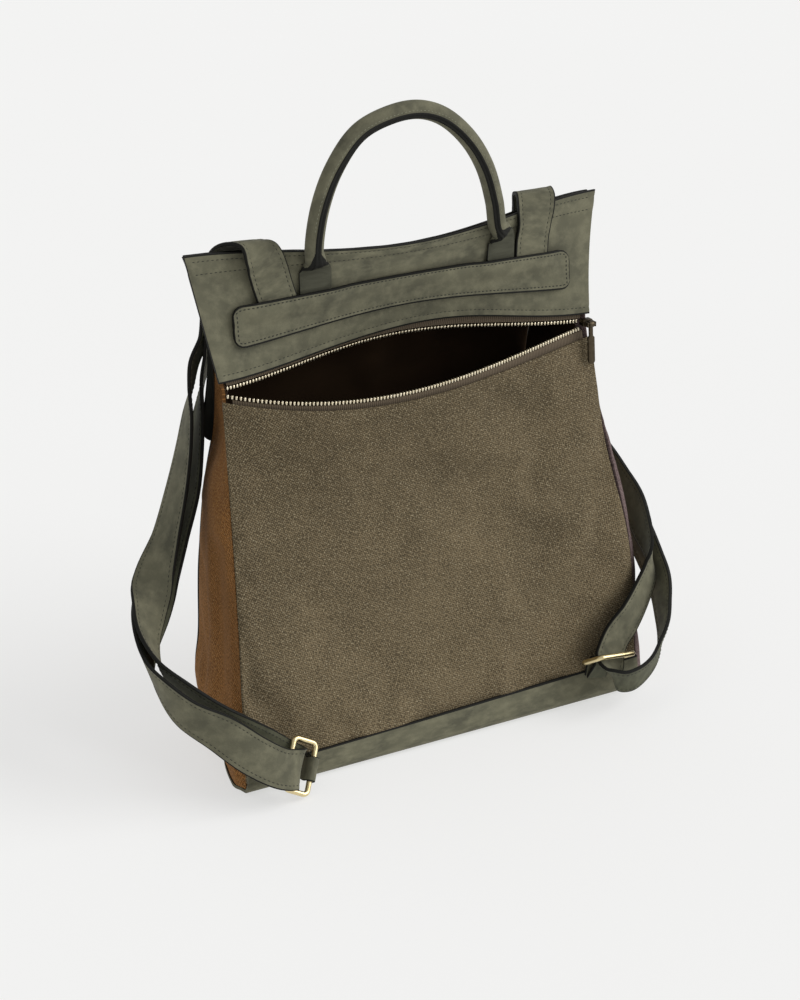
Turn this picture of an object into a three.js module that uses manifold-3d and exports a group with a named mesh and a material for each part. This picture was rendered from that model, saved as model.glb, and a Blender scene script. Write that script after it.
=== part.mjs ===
import * as THREE from "three";
import { mergeVertices } from "three/addons/utils/BufferGeometryUtils.js";
import Module from "manifold-3d";

const wasm = await Module();
wasm.setup();

// Soft wedge backpack, millimetres. X runs to the right as seen from the zip side, Y runs from the
// zip side to the front, Z is up. The origin is the middle of the underside.

// Driving sizes
const HALF_BASE = 145;
const HALF_ZIP = 131;
const HALF_TOP = 144.5;
const BACK_Y = -57;
const ZIP_Y = -10;
const ZIP_Z = 241;
const TOP_Y = 8;
const TOP_Z = 322;
const CANVAS = 1.8;
const LEATHER = 2;
const GAP = 0.35;

// The open zip: how far the middle of each lip leaves the straight line between its ends
const LOWER_LIP = { forward: 27, down: 10.5, skew: 0.45 };
const UPPER_LIP = { inward: 16, up: 7.5 };
const TEETH = { count: 46, long: 3.4, thick: 2.2, root: 0.4, from: -0.985, to: 0.94 };
const TAPE = { wide: 12, thick: 0.8, underYoke: 2, overCanvas: 3.5, half: 0.955, gap: 0.7 };

// Yoke at the middle of the bag: it leans toward the zip side and its top edge dips
const TOP_DIP = { forward: 17, down: 9 };
const YOKE_ARCH = { forward: 10, up: 33 };

// The right edge, as worn in: the yoke is drawn in above the zip, the panel bulges below it
const YOKE_WAIST = 2.5;
const SIDE_BULGE = { out: 9, ends: 0.78 };

// How far the middle of the back panel swells, its sides draw in, and how late its lip starts to open
const SWELL = { out: 3, waist: 1.5, opens: 2.6 };

// The strip sewn over the feet of the handle and straps, in parts of the yoke height
const STRIP = { low: 0.28, high: 0.59, half: 119.5, round: 7, lift: 2.9 };

// Handle
const HANDLE = { footLeft: -64.5, footRight: 66.5, radius: 5.7, tabHalf: 10.4, tabThick: 1.6 };
const HANDLE_LEAN = { left: 0.2, right: 0.9 };
const HANDLE_OUT = { foot: -10, arch: -13, from: 312, to: 345 };

// Straps, rings and ring tabs
const STRAP = { wide: 25, thick: 2.2 };
const RING = { inside: 28.6, deep: 13, wire: 3.4, corner: 3 };
const TAB = { wide: 15, thick: 1.5, rootLeft: 14, rootRight: 18 };

// Base
const BASE = { thick: 2.4, round: 5, seamLeft: 16, seamRight: 23 };

// Flap
const FLAP = { low: 190, halfLow: 119, round: 9, gap: 1.2 };

// Zip slider and its pull
const SLIDER = { x: 127.2, z: 242.4, back: -9.4, long: 6.8, deep: 4.8, tall: 4, leg: 1.2 };
const PULL = { pin: 1, hole: 1.35, eye: 2.2, eyeWide: 3.4, neck: 2.6, neckEnd: 7.5, wide: 4.8, long: 26 };
const PULL_PLATE = { thick: 1.6, tilt: 5 };

// Colours
const CANVAS_OLIVE = 0x5f5640;
const CANVAS_RUST = 0x6b4523;
const LEATHER_GREEN = 0x5d6152;
const LEATHER_DARK = 0x33352f;
const BRASS = 0xb9a468;
const GUNMETAL = 0x3b3730;
const TAPE_GREY = 0x6b5f55;

const lerp = THREE.MathUtils.lerp;
const clamp = THREE.MathUtils.clamp;
const smooth = (x, a, b) => THREE.MathUtils.smoothstep(x, a, b);
const vec = (x, y, z) => new THREE.Vector3(x, y, z);

// Value of one named column of a table at a height, along a smooth curve through the rows
function column(rows, key, at, by) {
  let i = 0;
  while (i < rows.length - 2 && at > rows[i + 1][by]) i += 1;
  const a = rows[Math.max(i - 1, 0)];
  const b = rows[i];
  const c = rows[i + 1];
  const d = rows[Math.min(i + 2, rows.length - 1)];
  const span = c[by] - b[by];
  const k = clamp((at - b[by]) / span, 0, 1);
  const inSlope = ((c[key] - a[key]) / (c[by] - a[by])) * span;
  const outSlope = ((d[key] - b[key]) / (d[by] - b[by])) * span;
  const k2 = k * k;
  const k3 = k2 * k;
  return (2 * k3 - 3 * k2 + 1) * b[key] + (k3 - 2 * k2 + k) * inSlope
    + (3 * k2 - 2 * k3) * c[key] + (k3 - k2) * outSlope;
}

// A closed mesh, with its faces turned outward
function closed(name, geometry, color, roughness, metalness) {
  geometry.deleteAttribute("normal");
  geometry.deleteAttribute("uv");
  const body = mergeVertices(geometry, 1e-4);
  const p = body.attributes.position;
  const index = body.index.array;
  let volume = 0;
  const a = vec();
  const b = vec();
  const c = vec();
  for (let i = 0; i < index.length; i += 3) {
    a.fromBufferAttribute(p, index[i]);
    b.fromBufferAttribute(p, index[i + 1]);
    c.fromBufferAttribute(p, index[i + 2]);
    volume += a.dot(b.cross(c));
  }
  if (volume < 0) {
    for (let i = 0; i < index.length; i += 3) {
      const swap = index[i + 1];
      index[i + 1] = index[i + 2];
      index[i + 2] = swap;
    }
  }
  body.computeVertexNormals();
  const mesh = new THREE.Mesh(body, new THREE.MeshStandardMaterial({ color, roughness, metalness }));
  mesh.name = name;
  return mesh;
}

// Moves every point of a geometry
function bend(geometry, move) {
  const p = geometry.attributes.position;
  for (let i = 0; i < p.count; i += 1) {
    const q = move(p.getX(i), p.getY(i), p.getZ(i));
    p.setXYZ(i, q.x, q.y, q.z);
  }
  return geometry;
}

// Unit normal of a surface given by two running numbers
function normalOf(place, u, v) {
  const h = 1e-3;
  const du = place(u + h, v).sub(place(u - h, v));
  const dv = place(u, v + h).sub(place(u, v - h));
  return du.cross(dv).normalize();
}

// A flat cut piece laid on a surface: u and v run from 0 to 1, lift moves it off the surface
function sheet(cols, rows, thick, place, lift = () => 0) {
  return bend(new THREE.BoxGeometry(1, 1, 1, cols, rows, 1), (x, y, z) => {
    const u = x + 0.5;
    const v = y + 0.5;
    return place(u, v).addScaledVector(normalOf(place, u, v), lift(u, v) + z * thick);
  });
}

// The value at k, from 0 to 1, of a list of uneven steps
function stepped(steps, k) {
  const at = clamp(k, 0, 1) * (steps.length - 1);
  const i = Math.min(Math.floor(at), steps.length - 2);
  return lerp(steps[i], steps[i + 1], at - i);
}

// How a soft edge leaves its straight line: evenly to both sides, and more to the left
const bow = (s) => Math.max(Math.cos((Math.PI / 2) * s), 0) ** 1.7;
const sag = (s) => (1 - s * s) * (1 - LOWER_LIP.skew * s);
const rightOnly = (s) => Math.max(s, 0) ** 2;

// Back panel: s runs from -1 to 1 across, t from 0 at the floor to 1 at the zip
function backAt(s, t) {
  const half = lerp(HALF_BASE, HALF_ZIP, t) - SWELL.waist * Math.sin(Math.PI * t);
  const belly = SWELL.out * Math.sin(Math.PI * t) * (1 - s * s);
  const open = Math.max(t, 0) ** SWELL.opens * sag(s);
  const bulge = SIDE_BULGE.out * Math.sin(Math.PI * clamp(t / SIDE_BULGE.ends, 0, 1)) ** 2;
  const y = lerp(BACK_Y, ZIP_Y, t) - belly - LOWER_LIP.forward * open;
  const z = ZIP_Z * t - LOWER_LIP.down * open;
  return vec(s * half + bulge * rightOnly(s), y, z);
}

// Yoke: t runs from 0 at the zip to 1 at the top edge
function yokeAt(s, t) {
  const half = lerp(HALF_ZIP, HALF_TOP, t);
  const lean = lerp(UPPER_LIP.inward, -TOP_DIP.forward, t) - YOKE_ARCH.forward * t * (1 - t);
  const rise = lerp(UPPER_LIP.up, -TOP_DIP.down, t) + YOKE_ARCH.up * t * (1 - t);
  const y = lerp(ZIP_Y, TOP_Y, t) + lean * bow(s);
  const z = lerp(ZIP_Z, TOP_Z, t) + rise * bow(s);
  return vec(s * half - YOKE_WAIST * Math.sin(Math.PI * t) * rightOnly(s), y, z);
}
const YOKE_TALL = TOP_Z - ZIP_Z;

// Front: half width and depth of its side edge, and depth of its middle, by height
const FRONT = [
  { height: 0, half: 99, side: 45, middle: 50 },
  { height: 28, half: 121.5, side: 53, middle: 57 },
  { height: 60, half: 119, side: 55.5, middle: 59 },
  { height: 110, half: 119.5, side: 51, middle: 55 },
  { height: 160, half: 118.4, side: 44, middle: 48 },
  { height: 200, half: 113.7, side: 38.4, middle: 39.5 },
  { height: 241, half: 116, side: 32, middle: 30 },
  { height: 290, half: 129, side: 20, middle: 9 },
  { height: 322, half: 143, side: 12.2, middle: -4.8 },
];
const DIP_FROM = 200;
function frontAt(s, height) {
  const half = column(FRONT, "half", height, "height");
  const side = column(FRONT, "side", height, "height");
  const middle = column(FRONT, "middle", height, "height");
  const dip = TOP_DIP.down * smooth(height, DIP_FROM, TOP_Z) * bow(s);
  return vec(s * half, lerp(side, middle, bow(s)), height - dip);
}

// Gusset: q runs from 0 at the back edge to 1 at the front edge, on the side +1 or -1
const FOOT_ENDS = 70;
const PINCH_RUN = { from: 170, to: 290 };
const ROLL_ENDS = { from: 150, to: 215 };
const ROLL = { left: 4.5, right: 8.5, foot: 2, turnLeft: 0.1, turnRight: 0.04 };
const BELLY = { all: 3, foot: 6, pinch: 14 };
function backEdge(side, height) {
  const edge = height < ZIP_Z ? backAt(side, height / ZIP_Z) : yokeAt(side, (height - ZIP_Z) / YOKE_TALL);
  return vec(side * edge.x, edge.y, height);
}
function gussetAt(side, q, height) {
  const a = backEdge(side, height);
  const b = frontAt(1, height);
  const low = 1 - smooth(height, 0, FOOT_ENDS);
  const high = smooth(height, PINCH_RUN.from, PINCH_RUN.to);
  const turn = side > 0 ? ROLL.turnRight : ROLL.turnLeft;
  const out = side > 0 ? ROLL.right + ROLL.foot * low : ROLL.left;
  const fades = 1 - smooth(height, ROLL_ENDS.from, ROLL_ENDS.to);
  const roll = out * smooth(q, 0, turn) * (1 - q) * fades;
  const belly = (BELLY.all + BELLY.foot * low - BELLY.pinch * high) * Math.sin(Math.PI * q);
  return vec(side * (lerp(a.x, b.x, q) + roll + belly), lerp(a.y, b.y, q), height);
}

const parts = [];

// Back panel, its edge left clear of the zip tape
const PANEL_FOOT = BASE.thick + 2 * GAP;
const PANEL_HEAD = 1 - (TEETH.long + TAPE.overCanvas) / ZIP_Z;
const BACK_FOOT = (BASE.thick / 2 + BASE.round + GAP) / ZIP_Z;
const panelRun = (v) => lerp(BACK_FOOT, PANEL_HEAD, v);
parts.push(closed("back_panel",
  sheet(16, 10, CANVAS, (u, v) => backAt(2 * u - 1, panelRun(v))), CANVAS_OLIVE, 0.95, 0));

// Yoke
const YOKE_FOOT = (TEETH.long + TAPE.underYoke) / YOKE_TALL;
parts.push(closed("back_yoke",
  sheet(22, 6, LEATHER, (u, v) => yokeAt(2 * u - 1, lerp(YOKE_FOOT, 1, v))), LEATHER_GREEN, 0.85, 0));

// Front panel, hung just inside the top edge
const frontRun = (v) => lerp(PANEL_FOOT, TOP_Z - 1, v);
parts.push(closed("front_panel",
  sheet(12, 10, CANVAS, (u, v) => frontAt(2 * u - 1, frontRun(v))), CANVAS_RUST, 0.95, 0));

// Gussets stand between the inner faces of the back and front panels
const GUSSET_HEAD = 304;
const GUSSET_STEPS = [0, 0.04, 0.12, 0.3, 0.5, 0.7, 0.86, 1];
function gusset(side) {
  return sheet(GUSSET_STEPS.length - 1, 16, CANVAS, (u, v) => {
    const height = lerp(PANEL_FOOT, GUSSET_HEAD, v);
    const deep = frontAt(1, height).distanceTo(backEdge(side, height));
    const behindYoke = (LEATHER / 2 + 3 * GAP) / deep;
    const behindFront = (CANVAS / 2 + 5 * GAP) / deep;
    const p = gussetAt(side, lerp(behindYoke, 1 - behindFront, stepped(GUSSET_STEPS, u)), height);
    p.x -= side * (CANVAS / 2 + 0.2);
    return p;
  });
}
parts.push(closed("gusset_left", gusset(-1), CANVAS_RUST, 0.95, 0));
parts.push(closed("gusset_right", gusset(1), CANVAS_RUST, 0.95, 0));

// Base: a plate cut to the foot of the gussets, with a strip turned up over the back panel
const LIP_OUT = CANVAS / 2 + GAP + BASE.thick / 2;
const BASE_ROWS = { lip: 3, corner: 4, plate: 7 };
function baseAt(u, v) {
  const s = 2 * u - 1;
  const total = BASE_ROWS.lip + BASE_ROWS.corner + BASE_ROWS.plate;
  const row = v * total;
  const seam = lerp(BASE.seamLeft, BASE.seamRight, u);
  const floor = BASE.thick / 2;
  const cornerTop = floor + BASE.round;
  const lipAt = (z) => backAt(s, z / ZIP_Z).y - LIP_OUT;
  if (row < BASE_ROWS.lip) {
    const z = lerp(seam, cornerTop, row / BASE_ROWS.lip);
    return vec(backAt(s, z / ZIP_Z).x, lipAt(z), z);
  }
  const cornerY = lipAt(cornerTop) + BASE.round;
  if (row < BASE_ROWS.lip + BASE_ROWS.corner) {
    const a = ((row - BASE_ROWS.lip) / BASE_ROWS.corner) * (Math.PI / 2);
    return vec(s * HALF_BASE, cornerY - BASE.round * Math.cos(a), cornerTop - BASE.round * Math.sin(a));
  }
  const q = (row - BASE_ROWS.lip - BASE_ROWS.corner) / BASE_ROWS.plate;
  const side = gussetAt(s < 0 ? -1 : 1, q, 0);
  const front = frontAt(s, 0).y + CANVAS / 2;
  const reach = (side.y - gussetAt(1, 0, 0).y) / (frontAt(1, 0).y - gussetAt(1, 0, 0).y);
  return vec(Math.abs(s) * side.x, lerp(cornerY, front, reach), floor);
}
parts.push(closed("base", sheet(12, 14, BASE.thick, baseAt), LEATHER_GREEN, 0.85, 0));

// Flap hanging on the front from the top edge, with rounded lower corners
const FLAP_OFF = CANVAS / 2 + FLAP.gap + LEATHER / 2;
const FLAP_TOP = TOP_Z - 4;
function flapAt(u, v) {
  const height = lerp(FLAP.low, FLAP_TOP, v);
  const inFront = frontAt(0.98 * (2 * u - 1), height);
  const wide = lerp(FLAP.halfLow / frontAt(1, height).x, 1, smooth(v, 0, 0.7));
  const up = clamp((height - FLAP.low) / FLAP.round, 0, 1);
  const trim = FLAP.round * (1 - Math.sqrt(1 - (1 - up) ** 2));
  inFront.x = (2 * u - 1) * (frontAt(1, height).x * wide - trim);
  return inFront;
}
const FLAP_STEPS = [0, 0.012, 0.035, 0.08, 0.2, 0.35, 0.5, 0.65, 0.8, 0.9, 1];
parts.push(closed("front_flap",
  sheet(12, FLAP_STEPS.length - 1, LEATHER, (u, v) => flapAt(1 - u, stepped(FLAP_STEPS, v)), () => FLAP_OFF),
  LEATHER_DARK, 0.85, 0));

// Strip over the feet: rounded ends, its upper edge lifted by what it covers
const STRIP_COLS = 26;
function stripAt(u, v) {
  const x = (2 * u - 1) * STRIP.half;
  const fromEnd = STRIP.half - Math.abs(x);
  const tall = (STRIP.high - STRIP.low) * YOKE_TALL;
  const k = clamp(fromEnd / STRIP.round, 0, 1);
  const cut = (STRIP.round * (1 - Math.sqrt(1 - (1 - k) ** 2))) / tall;
  const t = lerp(STRIP.low, STRIP.high, lerp(cut, 1 - cut, v));
  return yokeAt(x / lerp(HALF_ZIP, HALF_TOP, t), t);
}
const stripColumn = (u) => {
  const ends = [0, 0.003, 0.012, 0.03];
  const k = clamp(u, 0, 1) * STRIP_COLS;
  const last = ends.length - 1;
  if (k <= last) return lerp(ends[Math.floor(k)], ends[Math.min(Math.floor(k) + 1, last)], k % 1);
  if (k >= STRIP_COLS - last) return 1 - stripColumn(1 - u);
  return lerp(ends[last], 1 - ends[last], (k - last) / (STRIP_COLS - 2 * last));
};
const STRIP_OFF = LEATHER + GAP;
const stripLift = (u, v) => STRIP_OFF + STRIP.lift * smooth(v, 0.3, 0.75);
parts.push(closed("anchor_strip",
  sheet(STRIP_COLS, 4, LEATHER, (u, v) => stripAt(stripColumn(u), v), stripLift),
  LEATHER_GREEN, 0.85, 0));

// Handle: the feet on the yoke, then the middle line of the rolled arch from left to right
const TAB_LIFT = LEATHER / 2 + 2 * GAP + HANDLE.tabThick / 2;
const FOOT = [
  { t: 0.51, shift: 0, lift: TAB_LIFT, half: HANDLE.tabHalf, thick: HANDLE.tabThick / 2 },
  { t: 0.62, shift: 0, lift: TAB_LIFT, half: HANDLE.tabHalf, thick: HANDLE.tabThick / 2 },
  { t: 0.785, shift: 0, lift: TAB_LIFT + 0.1, half: HANDLE.tabHalf, thick: HANDLE.tabThick / 2 },
  { t: 0.835, shift: -1.2, lift: 3.5, half: 8.6, thick: 1.7 },
  { t: 0.89, shift: -3.4, lift: 6.2, half: 6.4, thick: 4.2 },
];
const ARCH = [
  { x: -67.8, height: 318.8 },
  { x: -65, height: 344.5 },
  { x: -55.2, height: 367 },
  { x: -39, height: 386 },
  { x: -17.8, height: 394 },
  { x: 1.7, height: 395 },
  { x: 19, height: 388.8 },
  { x: 36.7, height: 373.3 },
  { x: 48.7, height: 354.5 },
  { x: 56.6, height: 331.8 },
  { x: 60.7, height: 314.6 },
];
const acrossYoke = (x, t) => x / lerp(HALF_ZIP, HALF_TOP, t);
function offYoke(x, t, lift) {
  const s = acrossYoke(x, t);
  return yokeAt(s, t).addScaledVector(normalOf(yokeAt, s, t), lift);
}
const footRows = (x, leans) => FOOT.map((row) => ({
  p: offYoke(x + leans * row.shift, row.t, row.lift),
  face: normalOf(yokeAt, acrossYoke(x, row.t), row.t),
  half: row.half,
  thick: row.thick,
}));
const archOut = (height) => (
  lerp(HANDLE_OUT.foot, HANDLE_OUT.arch, smooth(height, HANDLE_OUT.from, HANDLE_OUT.to)));
const archRows = ARCH.map((row) => ({
  p: vec(row.x, archOut(row.height), row.height),
  face: vec(0, -1, 0),
  half: HANDLE.radius,
  thick: HANDLE.radius,
}));
const leftFoot = footRows(HANDLE.footLeft, HANDLE_LEAN.left);
const rightFoot = footRows(HANDLE.footRight, HANDLE_LEAN.right).reverse();
const handleRows = leftFoot.concat(archRows, rightFoot);
const handleCurve = new THREE.CatmullRomCurve3(handleRows.map((row) => row.p), false, "centripetal");
const HANDLE_STEPS = 40;
function handleRow(k) {
  const at = k * (handleRows.length - 1);
  const i = Math.min(Math.floor(at), handleRows.length - 2);
  const f = at - i;
  return {
    face: handleRows[i].face.clone().lerp(handleRows[i + 1].face, f),
    half: lerp(handleRows[i].half, handleRows[i + 1].half, f),
    thick: lerp(handleRows[i].thick, handleRows[i + 1].thick, f),
  };
}
const handleGeometry = bend(new THREE.CylinderGeometry(1, 1, 1, 12, HANDLE_STEPS), (x, y, z) => {
  const k = clamp(y + 0.5, 0, 1);
  const row = handleRow(k);
  const along = handleCurve.getTangent(k);
  const across = along.clone().cross(row.face).normalize();
  const out = across.clone().cross(along).normalize();
  return handleCurve.getPoint(k).addScaledVector(across, x * row.half).addScaledVector(out, z * row.thick);
});
parts.push(closed("handle", handleGeometry, LEATHER_GREEN, 0.85, 0));

// Straps: middle line and the way one marked edge lies, row by row from the top edge to the hidden end
const LEFT_STRAP = [
  { x: -98, y: -2.5, z: 318, ex: 0.95, ey: 0.16, ez: 0.27 },
  { x: -101.5, y: 3, z: 324.2, ex: 0.87, ey: 0.48, ez: -0.1 },
  { x: -105, y: 12, z: 323, ex: 0.92, ey: 0.34, ez: -0.2 },
  { x: -108, y: 22, z: 315, ex: 0.94, ey: 0.15, ez: -0.32 },
  { x: -111, y: 33, z: 299, ex: 0.95, ey: 0.2, ez: -0.25 },
  { x: -108.2, y: 40, z: 281, ex: 0.9, ey: 0.4, ez: -0.3 },
  { x: -112.7, y: 45, z: 258, ex: 0.65, ey: 0.7, ez: -0.3 },
  { x: -121, y: 45, z: 243, ex: 0.6, ey: 0.74, ez: -0.31 },
  { x: -125, y: 43, z: 228, ex: 0.5, ey: 0.82, ez: -0.28 },
  { x: -129, y: 40, z: 212, ex: 0.24, ey: 0.93, ez: -0.27 },
  { x: -135, y: 35, z: 192, ex: 0.06, ey: 0.95, ez: -0.29 },
  { x: -144, y: 28, z: 170, ex: -0.11, ey: 0.95, ez: -0.28 },
  { x: -156, y: 19, z: 147, ex: -0.27, ey: 0.93, ez: -0.25 },
  { x: -170.5, y: 8, z: 127, ex: -0.6, ey: 0.76, ez: 0.08 },
  { x: -180, y: -4, z: 113, ex: -0.85, ey: 0.02, ez: 0.45 },
  { x: -187.5, y: -17, z: 101, ex: -0.73, ey: -0.43, ez: 0.52 },
  { x: -188, y: -31, z: 88, ex: -0.42, ey: -0.7, ez: 0.57 },
  { x: -178.6, y: -44, z: 74, ex: -0.05, ey: -0.8, ez: 0.6 },
  { x: -166, y: -55, z: 59, ex: 0.25, ey: -0.62, ez: 0.72 },
  { x: -150, y: -61, z: 44, ex: 0.45, ey: -0.25, ez: 0.82 },
  { x: -134, y: -64, z: 31, ex: 0.48, ey: 0.12, ez: 0.83 },
  { x: -124, y: -67, z: 23, ex: 0.46, ey: 0.34, ez: 0.79 },
  { x: -118.7, y: -71.8, z: 19.6, ex: 0.45, ey: 0.42, ez: 0.78 },
  { x: -120.6, y: -78.7, z: 20.9, ex: 0.45, ey: 0.42, ez: 0.78 },
  { x: -132.5, y: -81.3, z: 25.3, ex: 0.47, ey: 0.34, ez: 0.8 },
  { x: -149, y: -77.8, z: 36.6, ex: 0.5, ey: 0.12, ez: 0.85 },
  { x: -167, y: -70, z: 53, ex: 0.45, ey: -0.25, ez: 0.82 },
  { x: -183.5, y: -59, z: 65, ex: 0.28, ey: -0.62, ez: 0.72 },
  { x: -190.8, y: -46, z: 75, ex: -0.02, ey: -0.78, ez: 0.62 },
  { x: -193.5, y: -29, z: 85, ex: -0.42, ey: -0.68, ez: 0.58 },
  { x: -187, y: -12, z: 95, ex: -0.75, ey: -0.4, ez: 0.5 },
  { x: -177, y: 1, z: 106, ex: -0.82, ey: 0.15, ez: 0.28 },
  { x: -165, y: 12, z: 121, ex: -0.57, ey: 0.79, ez: 0 },
  { x: -149, y: 22, z: 142, ex: -0.27, ey: 0.93, ez: -0.26 },
  { x: -134.5, y: 31, z: 166, ex: -0.11, ey: 0.95, ez: -0.29 },
  { x: -125.5, y: 39, z: 189, ex: 0.06, ey: 0.95, ez: -0.29 },
  { x: -118.6, y: 46, z: 210, ex: 0.24, ey: 0.93, ez: -0.27 },
  { x: -113.5, y: 49, z: 229, ex: 0.5, ey: 0.82, ez: -0.26 },
  { x: -109.5, y: 47, z: 246, ex: 0.62, ey: 0.74, ez: -0.26 },
  { x: -107.5, y: 44, z: 262, ex: 0.75, ey: 0.6, ez: -0.2 },
];
const RIGHT_STRAP = [
  { x: 93.3, y: -2.5, z: 318, ex: 0.975, ey: -0.12, ez: -0.18 },
  { x: 97, y: 3.5, z: 325.5, ex: 0.95, ey: -0.27, ez: -0.08 },
  { x: 101, y: 13, z: 325.5, ex: 0.94, ey: -0.31, ez: 0.1 },
  { x: 106, y: 22.5, z: 317.5, ex: 0.96, ey: -0.12, ez: 0.25 },
  { x: 112, y: 33, z: 299, ex: 1, ey: 0, ez: 0.1 },
  { x: 116, y: 43, z: 275, ex: 1, ey: 0, ez: 0.15 },
  { x: 120, y: 50, z: 245, ex: 0.95, ey: 0, ez: 0.25 },
  { x: 127, y: 55, z: 211, ex: 0.93, ey: 0, ez: 0.37 },
  { x: 137, y: 55, z: 182, ex: 0.85, ey: -0.1, ez: 0.5 },
  { x: 149, y: 49, z: 159, ex: 0.75, ey: -0.3, ez: 0.6 },
  { x: 161, y: 42, z: 143, ex: 0.5, ey: -0.42, ez: 0.75 },
  { x: 170, y: 29, z: 130, ex: 0.25, ey: -0.5, ez: 0.83 },
  { x: 173, y: 10.5, z: 117, ex: 0.17, ey: -0.5, ez: 0.85 },
  { x: 171, y: -10, z: 107.7, ex: 0.12, ey: -0.56, ez: 0.82 },
  { x: 167, y: -27, z: 96.7, ex: -0.04, ey: -0.63, ez: 0.77 },
  { x: 165, y: -37, z: 87.5, ex: -0.27, ey: -0.6, ez: 0.74 },
  { x: 161, y: -45, z: 77, ex: -0.56, ey: -0.35, ez: 0.75 },
  { x: 149, y: -53, z: 66, ex: -0.5, ey: -0.2, ez: 0.84 },
  { x: 133, y: -62, z: 55, ex: -0.52, ey: -0.13, ez: 0.84 },
  { x: 119, y: -66.5, z: 45, ex: -0.75, ey: -0.1, ez: 0.6 },
  { x: 111.4, y: -71.5, z: 35, ex: -0.93, ey: -0.16, ez: 0.28 },
  { x: 107.5, y: -80, z: 27.5, ex: -0.62, ey: -0.3, ez: 0.72 },
  { x: 110.5, y: -86, z: 25, ex: -0.27, ey: -0.54, ez: 0.8 },
  { x: 119, y: -88, z: 25, ex: -0.16, ey: -0.49, ez: 0.86 },
  { x: 131, y: -85, z: 27, ex: -0.1, ey: -0.45, ez: 0.88 },
  { x: 145.5, y: -77, z: 33, ex: -0.2, ey: -0.43, ez: 0.88 },
  { x: 157, y: -67, z: 42, ex: -0.15, ey: -0.57, ez: 0.8 },
  { x: 164, y: -56, z: 53, ex: -0.05, ey: -0.67, ez: 0.74 },
  { x: 169, y: -45, z: 65, ex: 0.1, ey: -0.64, ez: 0.76 },
  { x: 172, y: -31, z: 75, ex: 0.17, ey: -0.55, ez: 0.82 },
  { x: 175, y: -14, z: 86, ex: 0.23, ey: -0.53, ez: 0.82 },
  { x: 178, y: 5, z: 96, ex: 0.28, ey: -0.53, ez: 0.8 },
  { x: 179, y: 24, z: 108, ex: 0.28, ey: -0.53, ez: 0.8 },
  { x: 176, y: 44, z: 121, ex: 0.35, ey: -0.5, ez: 0.79 },
  { x: 163, y: 58, z: 140, ex: 0.6, ey: -0.4, ez: 0.69 },
  { x: 145, y: 65, z: 163, ex: 0.75, ey: -0.25, ez: 0.6 },
  { x: 132, y: 66, z: 190, ex: 0.88, ey: -0.05, ez: 0.45 },
];
const STRAP_LIFT = LEATHER / 2 + 2 * GAP + STRAP.thick / 2;
const STRAP_FOOT = [
  { t: 0.51, lift: STRAP_LIFT },
  { t: 0.62, lift: STRAP_LIFT },
  { t: 0.72, lift: STRAP_LIFT + 0.2 },
  { t: 0.84, lift: STRAP_LIFT + 1.6 },
];
const FOOT_AT = { left: { x: -88.2, lean: -19 }, right: { x: 90, lean: 5.4 } };
const STRAP_STEPS = 112;
function strap(rows, foot) {
  const footX = (t) => foot.x + foot.lean * (t - STRAP_FOOT[0].t);
  const feet = STRAP_FOOT.map((row) => offYoke(footX(row.t), row.t, row.lift));
  const points = feet.concat(rows.map((r) => vec(r.x, r.y, r.z)));
  const sewn = STRAP_FOOT[1].t;
  const footEdge = offYoke(foot.x + 1, sewn, 0).sub(offYoke(foot.x, sewn, 0)).normalize();
  const edges = feet.map(() => footEdge.clone()).concat(rows.map((r) => vec(r.ex, r.ey, r.ez)));
  const line = new THREE.CatmullRomCurve3(points, false, "centripetal");
  const edge = new THREE.CatmullRomCurve3(edges, false, "centripetal");
  return bend(new THREE.BoxGeometry(1, 1, 1, 1, STRAP_STEPS, 1), (x, y, z) => {
    const k = clamp(y + 0.5, 0, 1);
    const along = line.getTangent(k);
    const side = edge.getPoint(k);
    side.addScaledVector(along, -side.dot(along)).normalize();
    const face = along.clone().cross(side);
    return line.getPoint(k).addScaledVector(side, x * STRAP.wide).addScaledVector(face, z * STRAP.thick);
  });
}
parts.push(closed("shoulder_strap_left", strap(LEFT_STRAP, FOOT_AT.left), LEATHER_GREEN, 0.85, 0));
parts.push(closed("shoulder_strap_right", strap(RIGHT_STRAP, FOOT_AT.right), LEATHER_GREEN, 0.85, 0));

// Rings: a rounded wire frame, set by its middle, the way its long bars run and the way its free bar lies
const LEFT_RING = { at: vec(-115.9, -72.5, 18.8), bar: vec(0.45, 0.42, 0.78), free: vec(-0.87, 0.05, 0.48) };
const RIGHT_RING = { at: vec(111, -71, 35), bar: vec(0.96, 0.19, -0.2), free: vec(0.28, -0.83, 0.49) };
function ringFrame(ring) {
  const bar = ring.bar.clone().normalize();
  const free = ring.free.clone().addScaledVector(bar, -ring.free.dot(bar)).normalize();
  return new THREE.Matrix4().makeBasis(bar, free, bar.clone().cross(free)).setPosition(ring.at);
}
const RING_STEPS = 24;
const RING_SIDES = 6;
function ringAt(k) {
  const corner = RING.corner;
  const straightLong = (RING.inside + RING.wire) / 2 - corner;
  const straightDeep = (RING.deep + RING.wire) / 2 - corner;
  const spots = [];
  for (const [cx, cy, from] of [[1, 1, 0], [-1, 1, 1], [-1, -1, 2], [1, -1, 3]]) {
    for (let i = 0; i < RING_STEPS / 4; i += 1) {
      const a = (from + i / (RING_STEPS / 4 - 1)) * (Math.PI / 2);
      spots.push({
        p: vec(cx * straightLong + corner * Math.cos(a), cy * straightDeep + corner * Math.sin(a), 0),
        out: vec(Math.cos(a), Math.sin(a), 0),
      });
    }
  }
  return spots[k % RING_STEPS];
}
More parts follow.
